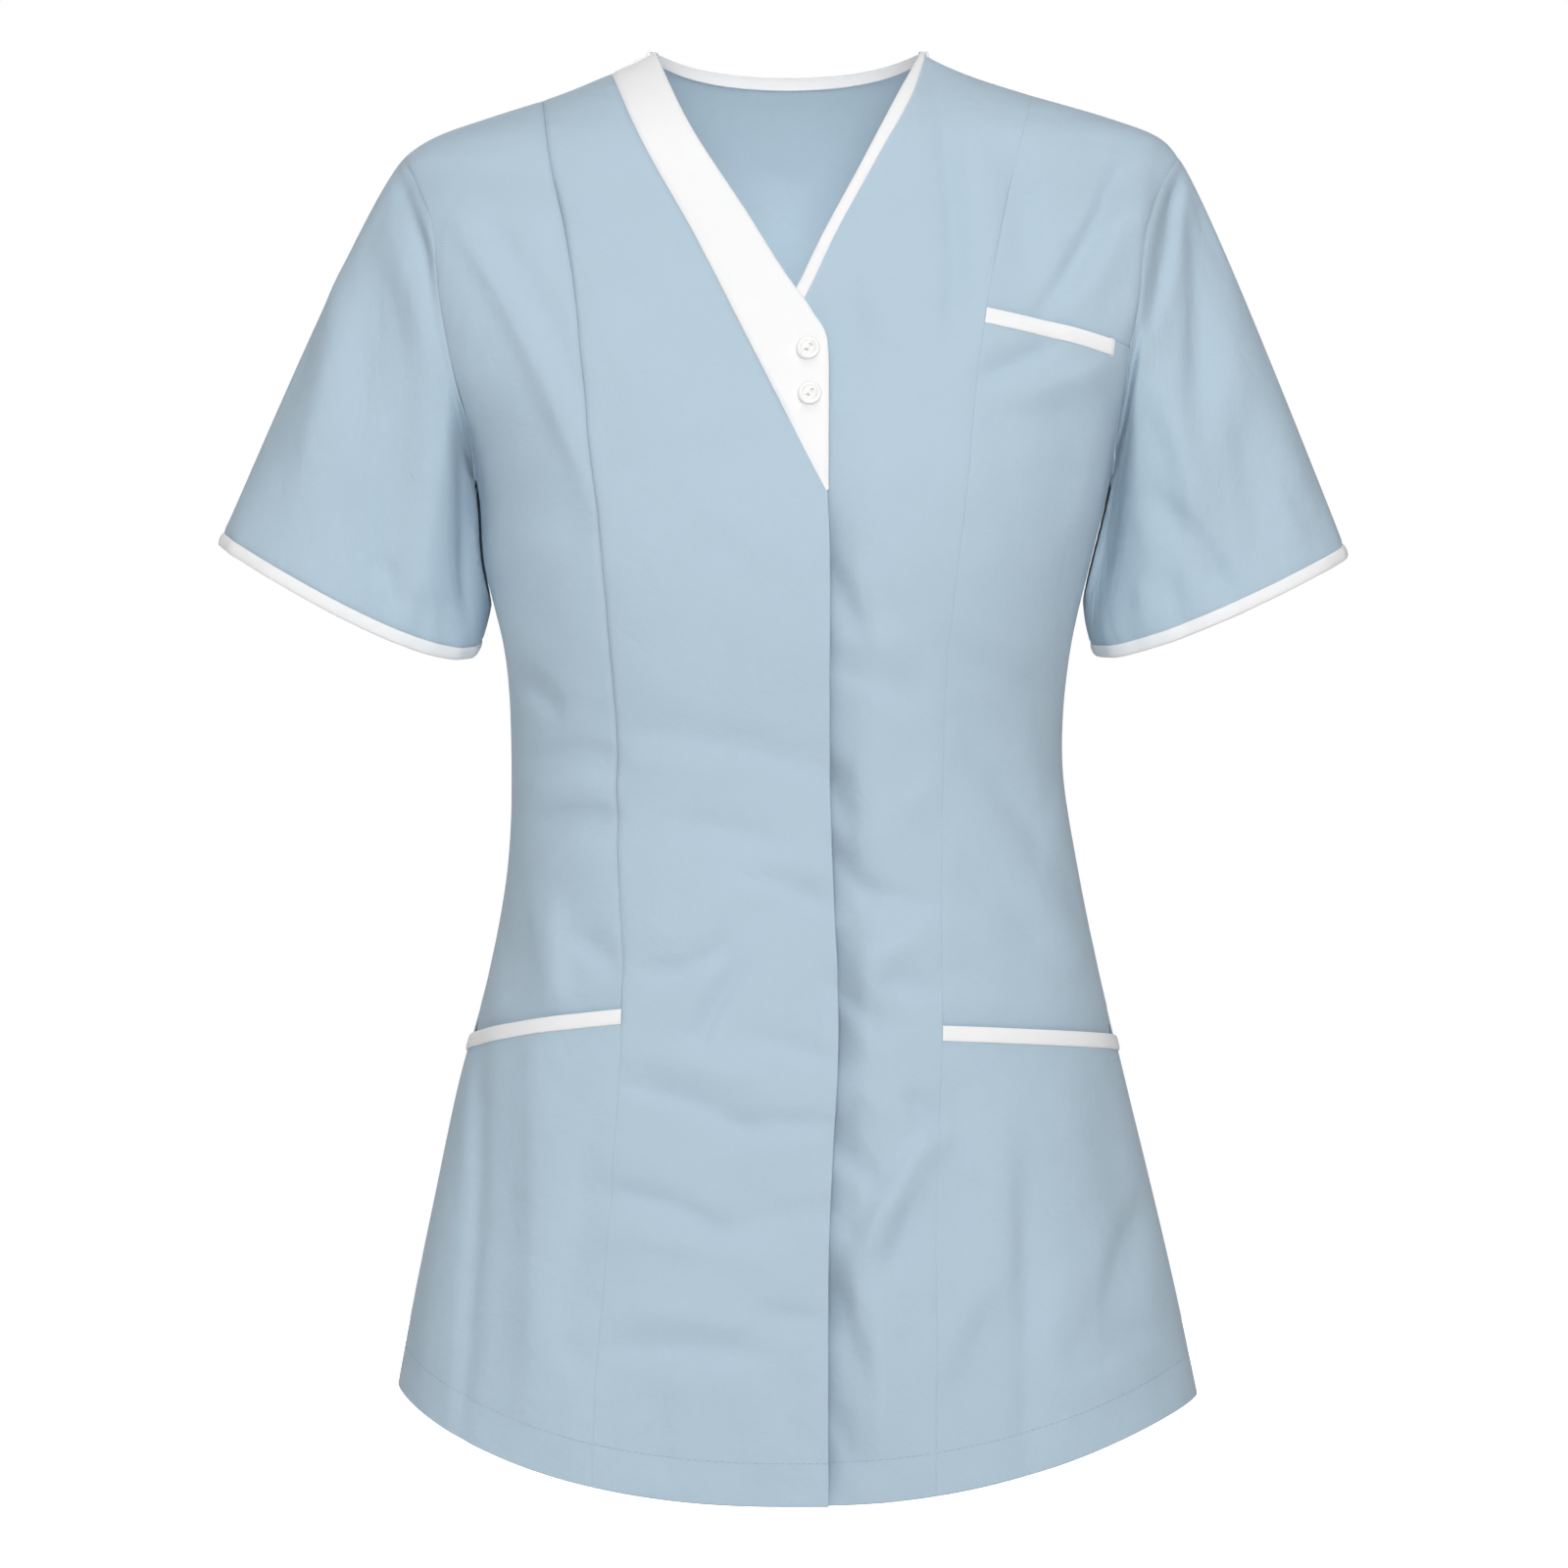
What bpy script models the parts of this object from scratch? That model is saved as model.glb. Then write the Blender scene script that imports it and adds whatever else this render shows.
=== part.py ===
"""Short-sleeved scrub top with a V neck and an overlapped front, hollow and filled out as worn.

Blender metres, +Z up. The front faces -Y and the wearer's right side is at -X. The tables are in
millimetres. The origin lies midway between the two points where the shoulder seams meet the neck.
Every cloth piece is a thin wall over its own patch of one shared form, cut along the seams.
"""

import math

import bmesh
import bpy
import numpy as np

MM = 0.001

# Walls and gaps
WALL = 1.2
TRIM_WALL = 1.2
BINDING_WALL = 1.6
SEAM_GAP = 0.4
LAYER_GAP = 0.3
SLEEVE_SEAM_STEP = 1.0
OVERLAP_STEP = 3.2
POCKET_STEP = 1.7
BAG_SIDE_GAP = 3.0

# Colours as seen, with white at 1
BLUE_CLOTH = (0.69, 0.765, 0.82)
WHITE_TRIM = (0.95, 0.95, 0.95)
BUTTON_WHITE = (0.93, 0.93, 0.92)
CLOTH_ROUGHNESS = 0.9
BUTTON_ROUGHNESS = 0.35


def table(columns, *rows):
    """A dictionary of arrays, one for each named column."""
    return dict(zip(columns.split(), np.array(rows, float).T))


# The worn form: half widths of the wearer's right and left, depths in front and behind
FORM = table(
    "height  right   left  front  back  roundness",
    (+8,     58.0,  58.0,    14,   38,  2.00),
    (0,      66.5,  66.5,    20,   46,  2.00),
    (-10,    88.0,  88.0,    30,   56,  2.00),
    (-20,   112.8, 119.2,    39,   63,  2.05),
    (-30,   143.6, 153.4,    46,   69,  2.10),
    (-38,   166.6, 175.6,    51,   74,  2.15),
    (-48,   183.0, 187.0,    56,   79,  2.20),
    (-62,   188.0, 190.0,    62,   84,  2.30),
    (-85,   187.0, 187.0,    73,   91,  2.35),
    (-115,  182.0, 182.0,    86,   97,  2.40),
    (-150,  170.0, 172.0,    98,  101,  2.40),
    (-185,  155.0, 160.0,   108,  102,  2.40),
    (-210,  149.0, 154.0,   113,  101,  2.40),
    (-245,  146.0, 145.2,   116,   97,  2.40),
    (-285,  136.6, 136.0,   112,   90,  2.40),
    (-343,  133.0, 132.2,   102,   82,  2.35),
    (-390,  134.8, 139.2,   101,   86,  2.35),
    (-440,  143.6, 149.4,   104,   94,  2.30),
    (-497,  159.0, 163.2,   108,  104,  2.25),
    (-545,  169.2, 175.0,   111,  110,  2.20),
    (-592,  178.8, 186.0,   114,  114,  2.20),
    (-640,  187.8, 196.2,   116,  117,  2.20),
    (-700,  198.0, 208.0,   118,  119,  2.20),
)

# Seams of the front: x at each height, from the shoulder down
PRINCESS_RIGHT = table(
    "height      x",
    (-21.0, -118.0),
    (-57.0, -112.8),
    (-86.0, -106.4),
    (-115.0, -101.4),
    (-152.0, -97.4),
    (-199.0, -92.7),
    (-227.0, -89.3),
    (-277.0, -84.8),
    (-323.0, -81.7),
    (-378.0, -80.4),
    (-464.0, -78.4),
    (-516.0, -81.5),
    (-576.0, -86.0),
    (-617.0, -89.8),
    (-690.0, -92.5),
)
PRINCESS_LEFT = table(
    "height     x",
    (-19.0, 117.5),
    (-48.0, 110.0),
    (-86.0, 101.2),
    (-129.0, 93.0),
    (-157.0, 89.5),
    (-190.0, 86.5),
    (-222.0, 83.2),
    (-259.0, 78.6),
    (-295.0, 75.0),
    (-351.0, 72.9),
    (-397.0, 72.4),
    (-466.0, 72.6),
    (-502.0, 71.6),
    (-557.0, 69.6),
    (-617.0, 69.3),
    (-690.0, 69.2),
)
OVERLAP_EDGE = table(
    "height    x",
    (-213.0, 18.4),
    (-240.0, 19.4),
    (-305.0, 19.4),
    (-364.0, 19.9),
    (-410.0, 21.6),
    (-443.0, 23.2),
    (-484.0, 23.2),
    (-516.0, 21.4),
    (-557.0, 19.4),
    (-626.0, 18.7),
    (-690.0, 18.7),
)
UNDERLAP_X = -8.0

# Neckline: seam and free edge of the wearer's right band and of the left binding, top to bottom
BAND_SEAM = (
    (-85.0, -8.7),
    (-71.4, -40.6),
    (-45.0, -89.0),
    (-21.2, -136.3),
    (2.2, -183.0),
    (17.6, -213.0),
)
BAND_EDGE = (
    (-64.4, 2.0),
    (-48.5, -33.5),
    (-20.4, -78.5),
    (3.2, -116.0),
    (10.5, -126.0),
    (16.6, -136.3),
    (18.8, -143.5),
    (18.9, -178.0),
    (18.8, -213.0),
)
BINDING_SEAM = (
    (66.5, 0.0),
    (60.4, -18.2),
    (42.3, -52.9),
    (17.1, -100.9),
    (7.3, -121.3),
    (-7.0, -152.0),
)
BINDING_EDGE = (
    (64.4, 2.0),
    (53.8, -18.4),
    (36.2, -53.0),
    (11.0, -100.9),
    (1.0, -121.3),
    (-13.0, -151.0),
)
BAND_COLUMNS = 3
BINDING_COLUMNS = 1

# Back of the neck: height of the seam at the shoulder, its drop to the centre, widths of the binding
BACK_NECK_SIDE = -0.5
BACK_NECK_DROP = 10.0
BACK_NECK_POWER = 2.5
BACK_BINDING_AT_SHOULDER = 2.5
BACK_BINDING_AT_CENTRE = 4.2

# Hem: height at the side seam, and how far it drops from there to the centre front and back
HEM = table(
    "sign    side  front_drop  front_power  back_drop  back_power",
    (-1,   -638.5,      50.0,         1.7,      46.5,        1.8),
    (+1,   -643.5,      45.0,         2.2,      42.0,        1.8),
)
HEM_MIDDLE = -688.0
BACK_UNDERARM_CENTRE = -228.0

# Where the left front drops behind the right one: x across which it fades out, height likewise
TUCK_X = (27.0, 46.0)
TUCK_HEIGHT = (-112.0, -84.0)

# Armhole, an oval seen from the side
ARMHOLE_MIDDLE = -128.0
ARMHOLE_HALF_HEIGHT = 79.0
ARMHOLE_FRONT = 44.0
ARMHOLE_BACK = 46.0

# Rows of the cloth from hem to shoulder: height on the princess seams, height on the side seam up
# to the underarm, and from there the angle round the armhole
ROWS = table(
    "right_princess left_princess  side  armhole",
    (-690,   -690,   -638,  180),
    (-612,   -612,   -592,  180),
    (-550,   -550,   -548,  180),
    (-503,   -506,   -512,  180),
    (-463.6, -471.4, -479,  180),
    (-456.7, -464.4, -472,  180),
    (-412,   -412,   -420,  180),
    (-362,   -362,   -368,  180),
    (-312,   -312,   -315,  180),
    (-265,   -265,   -262,  180),
    (-222,   -222,   -207,  180),
    (-190,   -190,   -207,  155),
    (-163,   -160,   -207,  130),
    (-140,   -133.5, -207,  107),
    (-126,   -126.5, -207,  101.5),
    (-104,   -106,   -207,   84),
    (-82,    -86,    -207,   67),
    (-62,    -66,    -207,   50),
    (-44,    -47,    -207,   33),
    (-30,    -30,    -207,   16.5),
    (-21,    -19.0,  -207,    0),
)
ROW_COUNT = len(ROWS["side"])
POCKET_TRIM_ROW = 4
POCKET_MOUTH_ROW = 5
UNDERARM_ROW = 10
CHEST_BAG_ROW = 11
CHEST_TRIM_ROW = 13
CHEST_MOUTH_ROW = 14
RIGHT_V_ROW = 10
LEFT_V_ROW = 12
CENTRE_COLUMNS = 7
SIDE_COLUMNS = 6
BACK_NECK_COLUMNS = 5
BACK_SHOULDER_COLUMNS = 6
CHEST_TRIM_COLUMNS = 5

# Sleeves: outer and inner ends of the cuff, seen from the front
SLEEVES = table(
    "sign  outer_x  outer_height  inner_x  inner_height  front_drop  skew  top_out",
    (-1,   271.5,   -229.5,       148.0,   -283.0,       9.0,        0.5,  46),
    (+1,   267.5,   -235.0,       146.0,   -283.0,       7.0,        0.4,  34),
)
# How the sleeve leaves the armhole: outward, forward and up
SLEEVE_TOP_DOWN = 40.0
SLEEVE_UNDER_LEAVES = (-34.0, -14.0, -75.0)
SLEEVE_MIDDLE_LEAVES = (56.0, 22.0, -60.0)
SLEEVE_UNDER_TURNS_IN = 4.0
SLEEVE_RINGS = 8
CUFF_FRONT = 44.0
CUFF_BACK = 42.0
CUFF_CENTRE_Y = 2.0
CUFF_BINDING_WIDTH = 6.0
SLEEVE_CLEARANCE = 1.7

# Buttons
BUTTON_PLACES = ((9.5, -146.1), (10.2, -167.6))
BUTTON_OUTLINE = table(
    "radius height",
    (2.60, 1.70),
    (3.40, 2.00),
    (3.90, 2.40),
    (5.05, 2.40),
    (5.60, 1.75),
    (5.50, 0.55),
    (4.85, 0.00),
)
BUTTON_STEPS = 28
BUTTON_HOLE_RADIUS = 0.85
BUTTON_HOLE_SPACING = 3.1
BUTTON_HOLE_SLANT = math.radians(50)
BUTTON_HOLE_STEPS = 12
DRILL_ENDS = (-1.0, 3.4)

# Distance over which the slope of the form is taken
SLOPE_STEP = 0.5


def smooth(columns, name, at):
    """A cubic through one column of a table against its height."""
    heights = columns["height"][::-1]
    values = columns[name][::-1]
    slopes = np.gradient(values, heights)
    at = np.clip(at, heights[0], heights[-1])
    cell = np.clip(np.searchsorted(heights, at) - 1, 0, len(heights) - 2)
    width = heights[cell + 1] - heights[cell]
    part = (at - heights[cell]) / width
    rise = values[cell + 1] - values[cell]
    start = slopes[cell] * width - rise
    end = rise - slopes[cell + 1] * width
    return values[cell] + part * rise + part * (1 - part) * ((1 - part) * start + part * end)


def half_width(x, height):
    return np.where(x < 0, smooth(FORM, "right", height), smooth(FORM, "left", height))


def depth(y, height):
    return np.where(y > 0, smooth(FORM, "back", height), smooth(FORM, "front", height))


def at_angle(angle, height):
    """The form at an angle round the body: 0 is the centre front, 90 the left side, 180 the back."""
    power = 2 / smooth(FORM, "roundness", height)
    sine = np.sin(angle)
    cosine = np.cos(angle)
    x = half_width(sine, height) * np.sign(sine) * np.abs(sine) ** power
    y = -depth(-cosine, height) * np.sign(cosine) * np.abs(cosine) ** power
    return np.stack(np.broadcast_arrays(x, y, height), axis=-1)


def at_front(x, height, facing=-1):
    """The form seen from the front (or with facing +1 from the back) at x and height."""
    roundness = smooth(FORM, "roundness", height)
    share = np.clip(np.abs(x) / half_width(x, height), 0, 1)
    y = facing * depth(facing, height) * (1 - share ** roundness) ** (1 / roundness)
    return np.stack(np.broadcast_arrays(x, y, height), axis=-1)


def angle_of(x, height):
    """The angle of a front point."""
    roundness = smooth(FORM, "roundness", height)
    share = np.clip(np.abs(x) / half_width(x, height), 0, 1)
    return np.sign(x) * np.arcsin(share ** (roundness / 2))


def form_level(x, y, height):
    """1 on the form, less inside it and more outside."""
    roundness = smooth(FORM, "roundness", height)
    across = np.abs(x) / half_width(x, height)
    through = np.abs(y) / depth(y, height)
    return across ** roundness + through ** roundness


def form_normals(points):
    """Outward unit normals of the form, from the slope of its section formula."""
    slopes = []
    for move in np.eye(3) * SLOPE_STEP:
        ahead = form_level(*np.moveaxis(points + move, -1, 0))
        behind = form_level(*np.moveaxis(points - move, -1, 0))
        slopes.append(ahead - behind)
    slopes = np.stack(slopes, axis=-1)
    return slopes / np.linalg.norm(slopes, axis=-1, keepdims=True)


def ramp(value, start, end):
    """0 at start and 1 at end, with soft ends."""
    part = np.clip((value - start) / (end - start), 0, 1)
    return part * part * (3 - 2 * part)


def even_points(corners, count, place=at_front):
    """A smooth line through 2D corners, cut into equal lengths measured on the form."""
    corners = np.array(corners, float)
    knots = np.concatenate([[0], np.cumsum(np.linalg.norm(np.diff(corners, axis=0), axis=1))])
    along = np.linspace(0, knots[-1], 400)
    line = np.stack([cubic(knots, corners[:, k], along) for k in (0, 1)], axis=-1)
    lengths = np.linalg.norm(np.diff(place(line[:, 0], line[:, 1]), axis=0), axis=1)
    run = np.concatenate([[0], np.cumsum(lengths)])
    marks = np.linspace(0, run[-1], count + 1)
    return np.stack([np.interp(marks, run, line[:, k]) for k in (0, 1)], axis=-1)


def cubic(knots, values, at):
    """A cubic through values given at rising knots."""
    columns = {"height": knots[::-1], "value": values[::-1]}
    return smooth(columns, "value", at)


def halved(points):
    """The same 3D line with a point added at the middle of every step."""
    middles = (points[1:] + points[:-1]) / 2
    line = np.empty((2 * len(points) - 1, 3))
    line[::2] = points
    line[1::2] = middles
    return line


def on_front(points):
    """Points moved straight forward or back onto the front of the form."""
    return at_front(points[..., 0], points[..., 2])


def shoulder_points(sign, heights):
    """Points on the shoulder seam, as x and height."""
    x = sign * half_width(np.full(len(heights), sign), heights)
    return np.stack([x, heights], axis=-1)


def patch(first, last, bottom, top, share):
    """A grid of 2D points inside four edges; share says how far up each row is."""
    across = np.linspace(0, 1, len(top))[None, :, None]
    up = np.asarray(share)[:, None, None]
    ruled = first[:, None] * (1 - across) + last[:, None] * across
    low = bottom[None] - ruled[:1]
    high = top[None] - ruled[-1:]
    return ruled + (1 - up) * low + up * high


def row_share(heights):
    """How far up each height is, from 0 at the first to 1 at the last."""
    return (heights - heights[0]) / (heights[-1] - heights[0])


def hem_height(angle):
    """Height of the hem at a form angle."""
    side = np.where(np.sin(angle) < 0, 0, 1)
    front = np.cos(angle) > 0
    drop = np.where(front, HEM["front_drop"][side], HEM["back_drop"][side])
    power = np.where(front, HEM["front_power"][side], HEM["back_power"][side])
    return HEM["side"][side] - drop * np.abs(np.cos(angle)) ** power


def front_hem(x):
    """Height of the front hem at x."""
    height = np.full(np.shape(x), HEM_MIDDLE)
    for _ in range(4):
        height = hem_height(angle_of(x, height))
    return height


def princess_line(sign):
    """x and height of the princess seam at every row."""
    seam = PRINCESS_RIGHT if sign < 0 else PRINCESS_LEFT
    heights = ROWS["right_princess" if sign < 0 else "left_princess"].copy()
    heights[0] = front_hem(smooth(seam, "x", HEM_MIDDLE))
    x = smooth(seam, "x", heights)
    x[-1] = sign * half_width(np.array(sign), heights[-1])
    return np.stack([x, heights], axis=-1)


def armhole_angles(front):
    """Form angle and height at each row of the armhole, from the underarm up."""
    turn = np.radians(ROWS["armhole"][UNDERARM_ROW:])
    height = ARMHOLE_MIDDLE + ARMHOLE_HALF_HEIGHT * np.cos(turn)
    y = np.sin(turn) * (-ARMHOLE_FRONT if front else ARMHOLE_BACK)
    roundness = smooth(FORM, "roundness", height)
    quarter = np.arccos(np.clip((np.abs(y) / depth(y, height)) ** (roundness / 2), 0, 1))
    return np.stack([quarter if front else math.pi - quarter, height], axis=-1)


def side_line(front, sign):
    """Form angle, without its sign, and height of the side seam and the armhole at every row."""
    armhole = armhole_angles(front)
    heights = ROWS["side"][:UNDERARM_ROW].copy()
    heights[0] = hem_height(sign * math.pi / 2)
    side = np.stack([np.full(len(heights), math.pi / 2), heights], axis=-1)
    return np.concatenate([side, armhole])


def tuck(points, amount):
    """How far the wearer's left front drops behind the right front at the overlap."""
    across = 1 - ramp(points[..., 0], *TUCK_X)
    down = 1 - ramp(points[..., 2], *TUCK_HEIGHT)
    return -amount * across * down


def trimmed(grid, gaps):
    """Draws the grid's edges in by the seam gaps: first row, last row, first column, last column."""
    grid = grid.copy()
    edges = ((0, 1, 0), (-1, -2, 0), (0, 1, 1), (-1, -2, 1))
    for gap, (edge, inner, axis) in zip(gaps, edges):
        if not gap:
            continue
        view = np.moveaxis(grid, axis, 0)
        inward = view[inner] - view[edge]
        view[edge] += inward * gap / np.linalg.norm(inward, axis=-1, keepdims=True)
    return grid


def wall_object(name, outer, inner, colour, closed=False):
    """A closed wall between two grids of points; closed joins the last column to the first."""
    rows, columns = outer.shape[:2]
    mesh_form = bmesh.new()
    skins = [[[mesh_form.verts.new(p * MM) for p in row] for row in skin] for skin in (outer, inner)]
    spans = [(i, (i + 1) % columns) for i in range(columns if closed else columns - 1)]
    for skin in skins:
        for low, high in zip(skin, skin[1:]):
            for a, b in spans:
                mesh_form.faces.new((low[a], low[b], high[b], high[a]))
    for row in (0, rows - 1):
        for a, b in spans:
            mesh_form.faces.new((skins[0][row][a], skins[0][row][b], skins[1][row][b], skins[1][row][a]))
    for column in () if closed else (0, columns - 1):
        for low, high in zip(range(rows), range(1, rows)):
            mesh_form.faces.new(
                (skins[0][low][column], skins[0][high][column], skins[1][high][column], skins[1][low][column])
            )
    bmesh.ops.recalc_face_normals(mesh_form, faces=mesh_form.faces)
    return finished(name, mesh_form, colour, CLOTH_ROUGHNESS)


def linear(colour):
    """A colour as seen, turned into the even scale that shaders take."""
    return [((value + 0.055) / 1.055) ** 2.4 for value in colour]


def finished(name, mesh_form, colour, roughness):
    """Turns a bmesh into a named object with its own material."""
    mesh = bpy.data.meshes.new(name)
    mesh_form.to_mesh(mesh)
    mesh_form.free()
    mesh.shade_smooth()
    mesh.set_sharp_from_angle(angle=math.radians(40))
    material = bpy.data.materials.new(name + "_material")
    material.use_nodes = True
    shader = material.node_tree.nodes["Principled BSDF"]
    shader.inputs["Base Color"].default_value = (*linear(colour), 1)
    shader.inputs["Roughness"].default_value = roughness
    shader.inputs["Metallic"].default_value = 0
    mesh.materials.append(material)
    piece = bpy.data.objects.new(name, mesh)
    bpy.context.scene.collection.objects.link(piece)
    return piece


def cloth(name, grid, colour, gaps=(SEAM_GAP / 2,) * 4, lift=0.0, wall=WALL):
    """One cut piece: a wall whose outer face lies on the form, lifted by lift."""
    grid = trimmed(grid, gaps)
    normals = form_normals(grid)
    outer = grid + normals * np.asarray(lift)[..., None]
    return wall_object(name, outer, outer - normals * wall, colour)


def neckline(sign):
    """x and height of the neckline seam of a front panel, from the foot of the V to the shoulder."""
    corners, foot_row = (BAND_SEAM, RIGHT_V_ROW) if sign < 0 else (BINDING_SEAM, LEFT_V_ROW)
    line = even_points(corners[::-1], ROW_COUNT - 1 - foot_row)
    line[-1, 0] = sign * half_width(np.array(sign), line[-1, 1])
    return line


def front_centre_grid(sign, inner_edge):
    """Front panel beside the opening: its inner side is the front edge and the neckline above it."""
    princess = princess_line(sign)
    neck = neckline(sign)
    foot_row = ROW_COUNT - len(neck)
    hem_x = np.linspace(inner_edge(HEM_MIDDLE), princess[0, 0], CENTRE_COLUMNS + 1)
    bottom = np.stack([hem_x, front_hem(sign * np.maximum(sign * hem_x, 1))], axis=-1)
    rise = row_share(princess[: foot_row + 1, 1])
    heights = bottom[0, 1] + rise * (neck[0, 1] - bottom[0, 1])
    edge = np.stack([[inner_edge(height) for height in heights], heights], axis=-1)
    first = np.concatenate([edge[:-1], neck])
    top = shoulder_points(sign, np.linspace(neck[-1, 1], princess[-1, 1], CENTRE_COLUMNS + 1))
    grid = patch(first, princess, bottom, top, row_share(princess[:, 1]))
    return at_front(grid[..., 0], grid[..., 1])


def front_side_grid(sign):
    """Front panel between the princess seam and the side seam and armhole."""
    princess = princess_line(sign)
    first = np.stack([np.abs(angle_of(princess[:, 0], princess[:, 1])), princess[:, 1]], axis=-1)
    first[-1, 0] = math.pi / 2
    last = side_line(front=True, sign=sign)
    angles = np.linspace(first[0, 0], last[0, 0], SIDE_COLUMNS + 1)
    bottom = np.stack([angles, hem_height(sign * angles)], axis=-1)
    across = np.linspace(0, 1, SIDE_COLUMNS + 1)[:, None]
    top = first[-1] * (1 - across) + last[-1] * across
    fade = np.clip(np.arange(ROW_COUNT) / (POCKET_TRIM_ROW - 1), 0, 1)
    grid = patch(first, last, bottom, top, fade)
    return at_angle(sign * grid[..., 0], grid[..., 1])


def back_half_grid(sign):
    """Half of the back, from the centre line out to the side seam and armhole."""
    columns = BACK_NECK_COLUMNS + BACK_SHOULDER_COLUMNS
    last = side_line(front=False, sign=sign)
    angles = np.linspace(math.pi, math.pi / 2, columns + 1)
    bottom = np.stack([angles, hem_height(sign * angles)], axis=-1)
    rise = row_share(ROWS["side"][: UNDERARM_ROW + 1])
    low_centre = bottom[0, 1] + rise * (BACK_UNDERARM_CENTRE - bottom[0, 1])
    first = np.stack([np.full(UNDERARM_ROW + 1, math.pi), low_centre], axis=-1)
    across = np.linspace(0, 1, columns + 1)[:, None]
    level = first[-1] * (1 - across) + last[UNDERARM_ROW] * across
    low = patch(first, last[: UNDERARM_ROW + 1], bottom, level, rise)
    low = at_angle(sign * low[..., 0], low[..., 1])
    armhole = at_angle(sign * last[UNDERARM_ROW:, 0], last[UNDERARM_ROW:, 1])[:, (0, 2)]
    neck_angles = np.linspace(math.pi, math.pi / 2, BACK_NECK_COLUMNS + 1)
    neck = at_angle(sign * neck_angles, back_neck_height(neck_angles))[:, (0, 2)]
    shoulder_heights = np.linspace(neck[-1, 1], armhole[-1, 1], BACK_SHOULDER_COLUMNS + 1)
    top = np.concatenate([neck, shoulder_points(sign, shoulder_heights)[1:]])
    share = row_share(armhole[:, 1])
    centre = BACK_UNDERARM_CENTRE + share * (neck[0, 1] - BACK_UNDERARM_CENTRE)
    centre_line = np.stack([np.zeros(len(share)), centre], axis=-1)
    high = patch(centre_line, armhole, low[-1][:, (0, 2)], top, share)
    high = at_front(high[..., 0], high[..., 1], facing=1)
    return np.concatenate([low, high[1:]])


def back_neck_height(angle):
    """Height of the back neck seam at a form angle."""
    return BACK_NECK_SIDE - BACK_NECK_DROP * np.abs(np.cos(angle)) ** BACK_NECK_POWER


def make_fronts():
    right = front_centre_grid(-1, lambda height: smooth(OVERLAP_EDGE, "x", height))
    cloth("right_front_centre", right, BLUE_CLOTH)
    left = front_centre_grid(1, lambda height: UNDERLAP_X)
    cloth("left_front_centre", left, BLUE_CLOTH, lift=tuck(left, OVERLAP_STEP))


def make_sides():
    right = front_side_grid(-1)
    left = front_side_grid(1)
    cloth("right_front_side", right, BLUE_CLOTH, lift=behind_pocket(right, POCKET_MOUTH_ROW))
    make_chest_pocket(left)
    for side, grid in (("right", right), ("left", left)):
        cloth(side + "_hip_pocket", grid[: POCKET_MOUTH_ROW + 1], BLUE_CLOTH)
        trim(side + "_hip_pocket_trim", grid[POCKET_TRIM_ROW : POCKET_MOUTH_ROW + 1])


def trim(name, grid):
    """A white strip that lies on the cloth of the same grid."""
    cloth(name, grid, WHITE_TRIM, lift=LAYER_GAP + TRIM_WALL, wall=TRIM_WALL)


def behind_pocket(grid, last_row):
    """Lift of a panel that lies behind a pocket front from its first row to last_row."""
    row = np.arange(len(grid))[:, None]
    return -POCKET_STEP * (row <= last_row) * np.ones(grid.shape[1])


def make_chest_pocket(grid):
    """The lower panel is the pocket's front; the upper one runs on behind it as the pocket's back."""
    lower = grid[: CHEST_MOUTH_ROW + 1]
    cloth("left_front_side", lower, BLUE_CLOTH, lift=behind_pocket(lower, POCKET_MOUTH_ROW))
    upper = grid[CHEST_BAG_ROW:].copy()
    bag_rows = CHEST_MOUTH_ROW - CHEST_BAG_ROW
    upper[:bag_rows] = trimmed(upper[:bag_rows], (0, 0, BAG_SIDE_GAP, BAG_SIDE_GAP))
    cloth("left_front_upper_side", upper, BLUE_CLOTH, lift=behind_pocket(upper, bag_rows))
    trim("chest_pocket_trim", grid[CHEST_TRIM_ROW : CHEST_MOUTH_ROW + 1, : CHEST_TRIM_COLUMNS + 1])


def make_back():
    left = back_half_grid(1)
    right = back_half_grid(-1)
    cloth("back", np.concatenate([right[:, :0:-1], left], axis=1), BLUE_CLOTH)


def make_neck():
    for name, sign, corners, columns, wall in (
        ("neck_band", -1, BAND_EDGE, BAND_COLUMNS, WALL),
        ("left_neck_binding", 1, BINDING_EDGE, BINDING_COLUMNS, BINDING_WALL),
    ):
        seam = neckline(sign)
        seam = halved(at_front(seam[:, 0], seam[:, 1]))
        edge = even_points(corners[::-1], len(seam) - 1)
        edge[-1, 0] = sign * half_width(np.array(sign), edge[-1, 1])
        edge = at_front(edge[:, 0], edge[:, 1])
        across = np.linspace(0, 1, columns + 1)[:, None, None]
        strip = on_front(seam * (1 - across) + edge * across)
        strip[0] = seam
        lift = tuck(strip, OVERLAP_STEP) * (sign > 0)
        cloth(name, strip, WHITE_TRIM, (SEAM_GAP / 2, 0, 0, SEAM_GAP / 2), lift, wall)
    angles = np.linspace(math.pi / 2, 3 * math.pi / 2, 2 * BACK_NECK_COLUMNS + 1)
    low = back_neck_height(angles)
    widening = BACK_BINDING_AT_CENTRE - BACK_BINDING_AT_SHOULDER
    high = low + BACK_BINDING_AT_SHOULDER + widening * np.abs(np.cos(angles))
    strip = np.stack([at_angle(angles, low), at_angle(angles, high)])
    gaps = (SEAM_GAP / 2, 0, SEAM_GAP / 2, SEAM_GAP / 2)
    cloth("back_neck_binding", strip, WHITE_TRIM, gaps, wall=BINDING_WALL)


def armhole_ring(sign):
    """The armhole from the shoulder down the front, round the underarm and up the back."""
    front = armhole_angles(front=True)[::-1]
    back = armhole_angles(front=False)
    ring = np.concatenate([front, back[1:-1]])
    return at_angle(sign * ring[:, 0], ring[:, 1])


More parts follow.
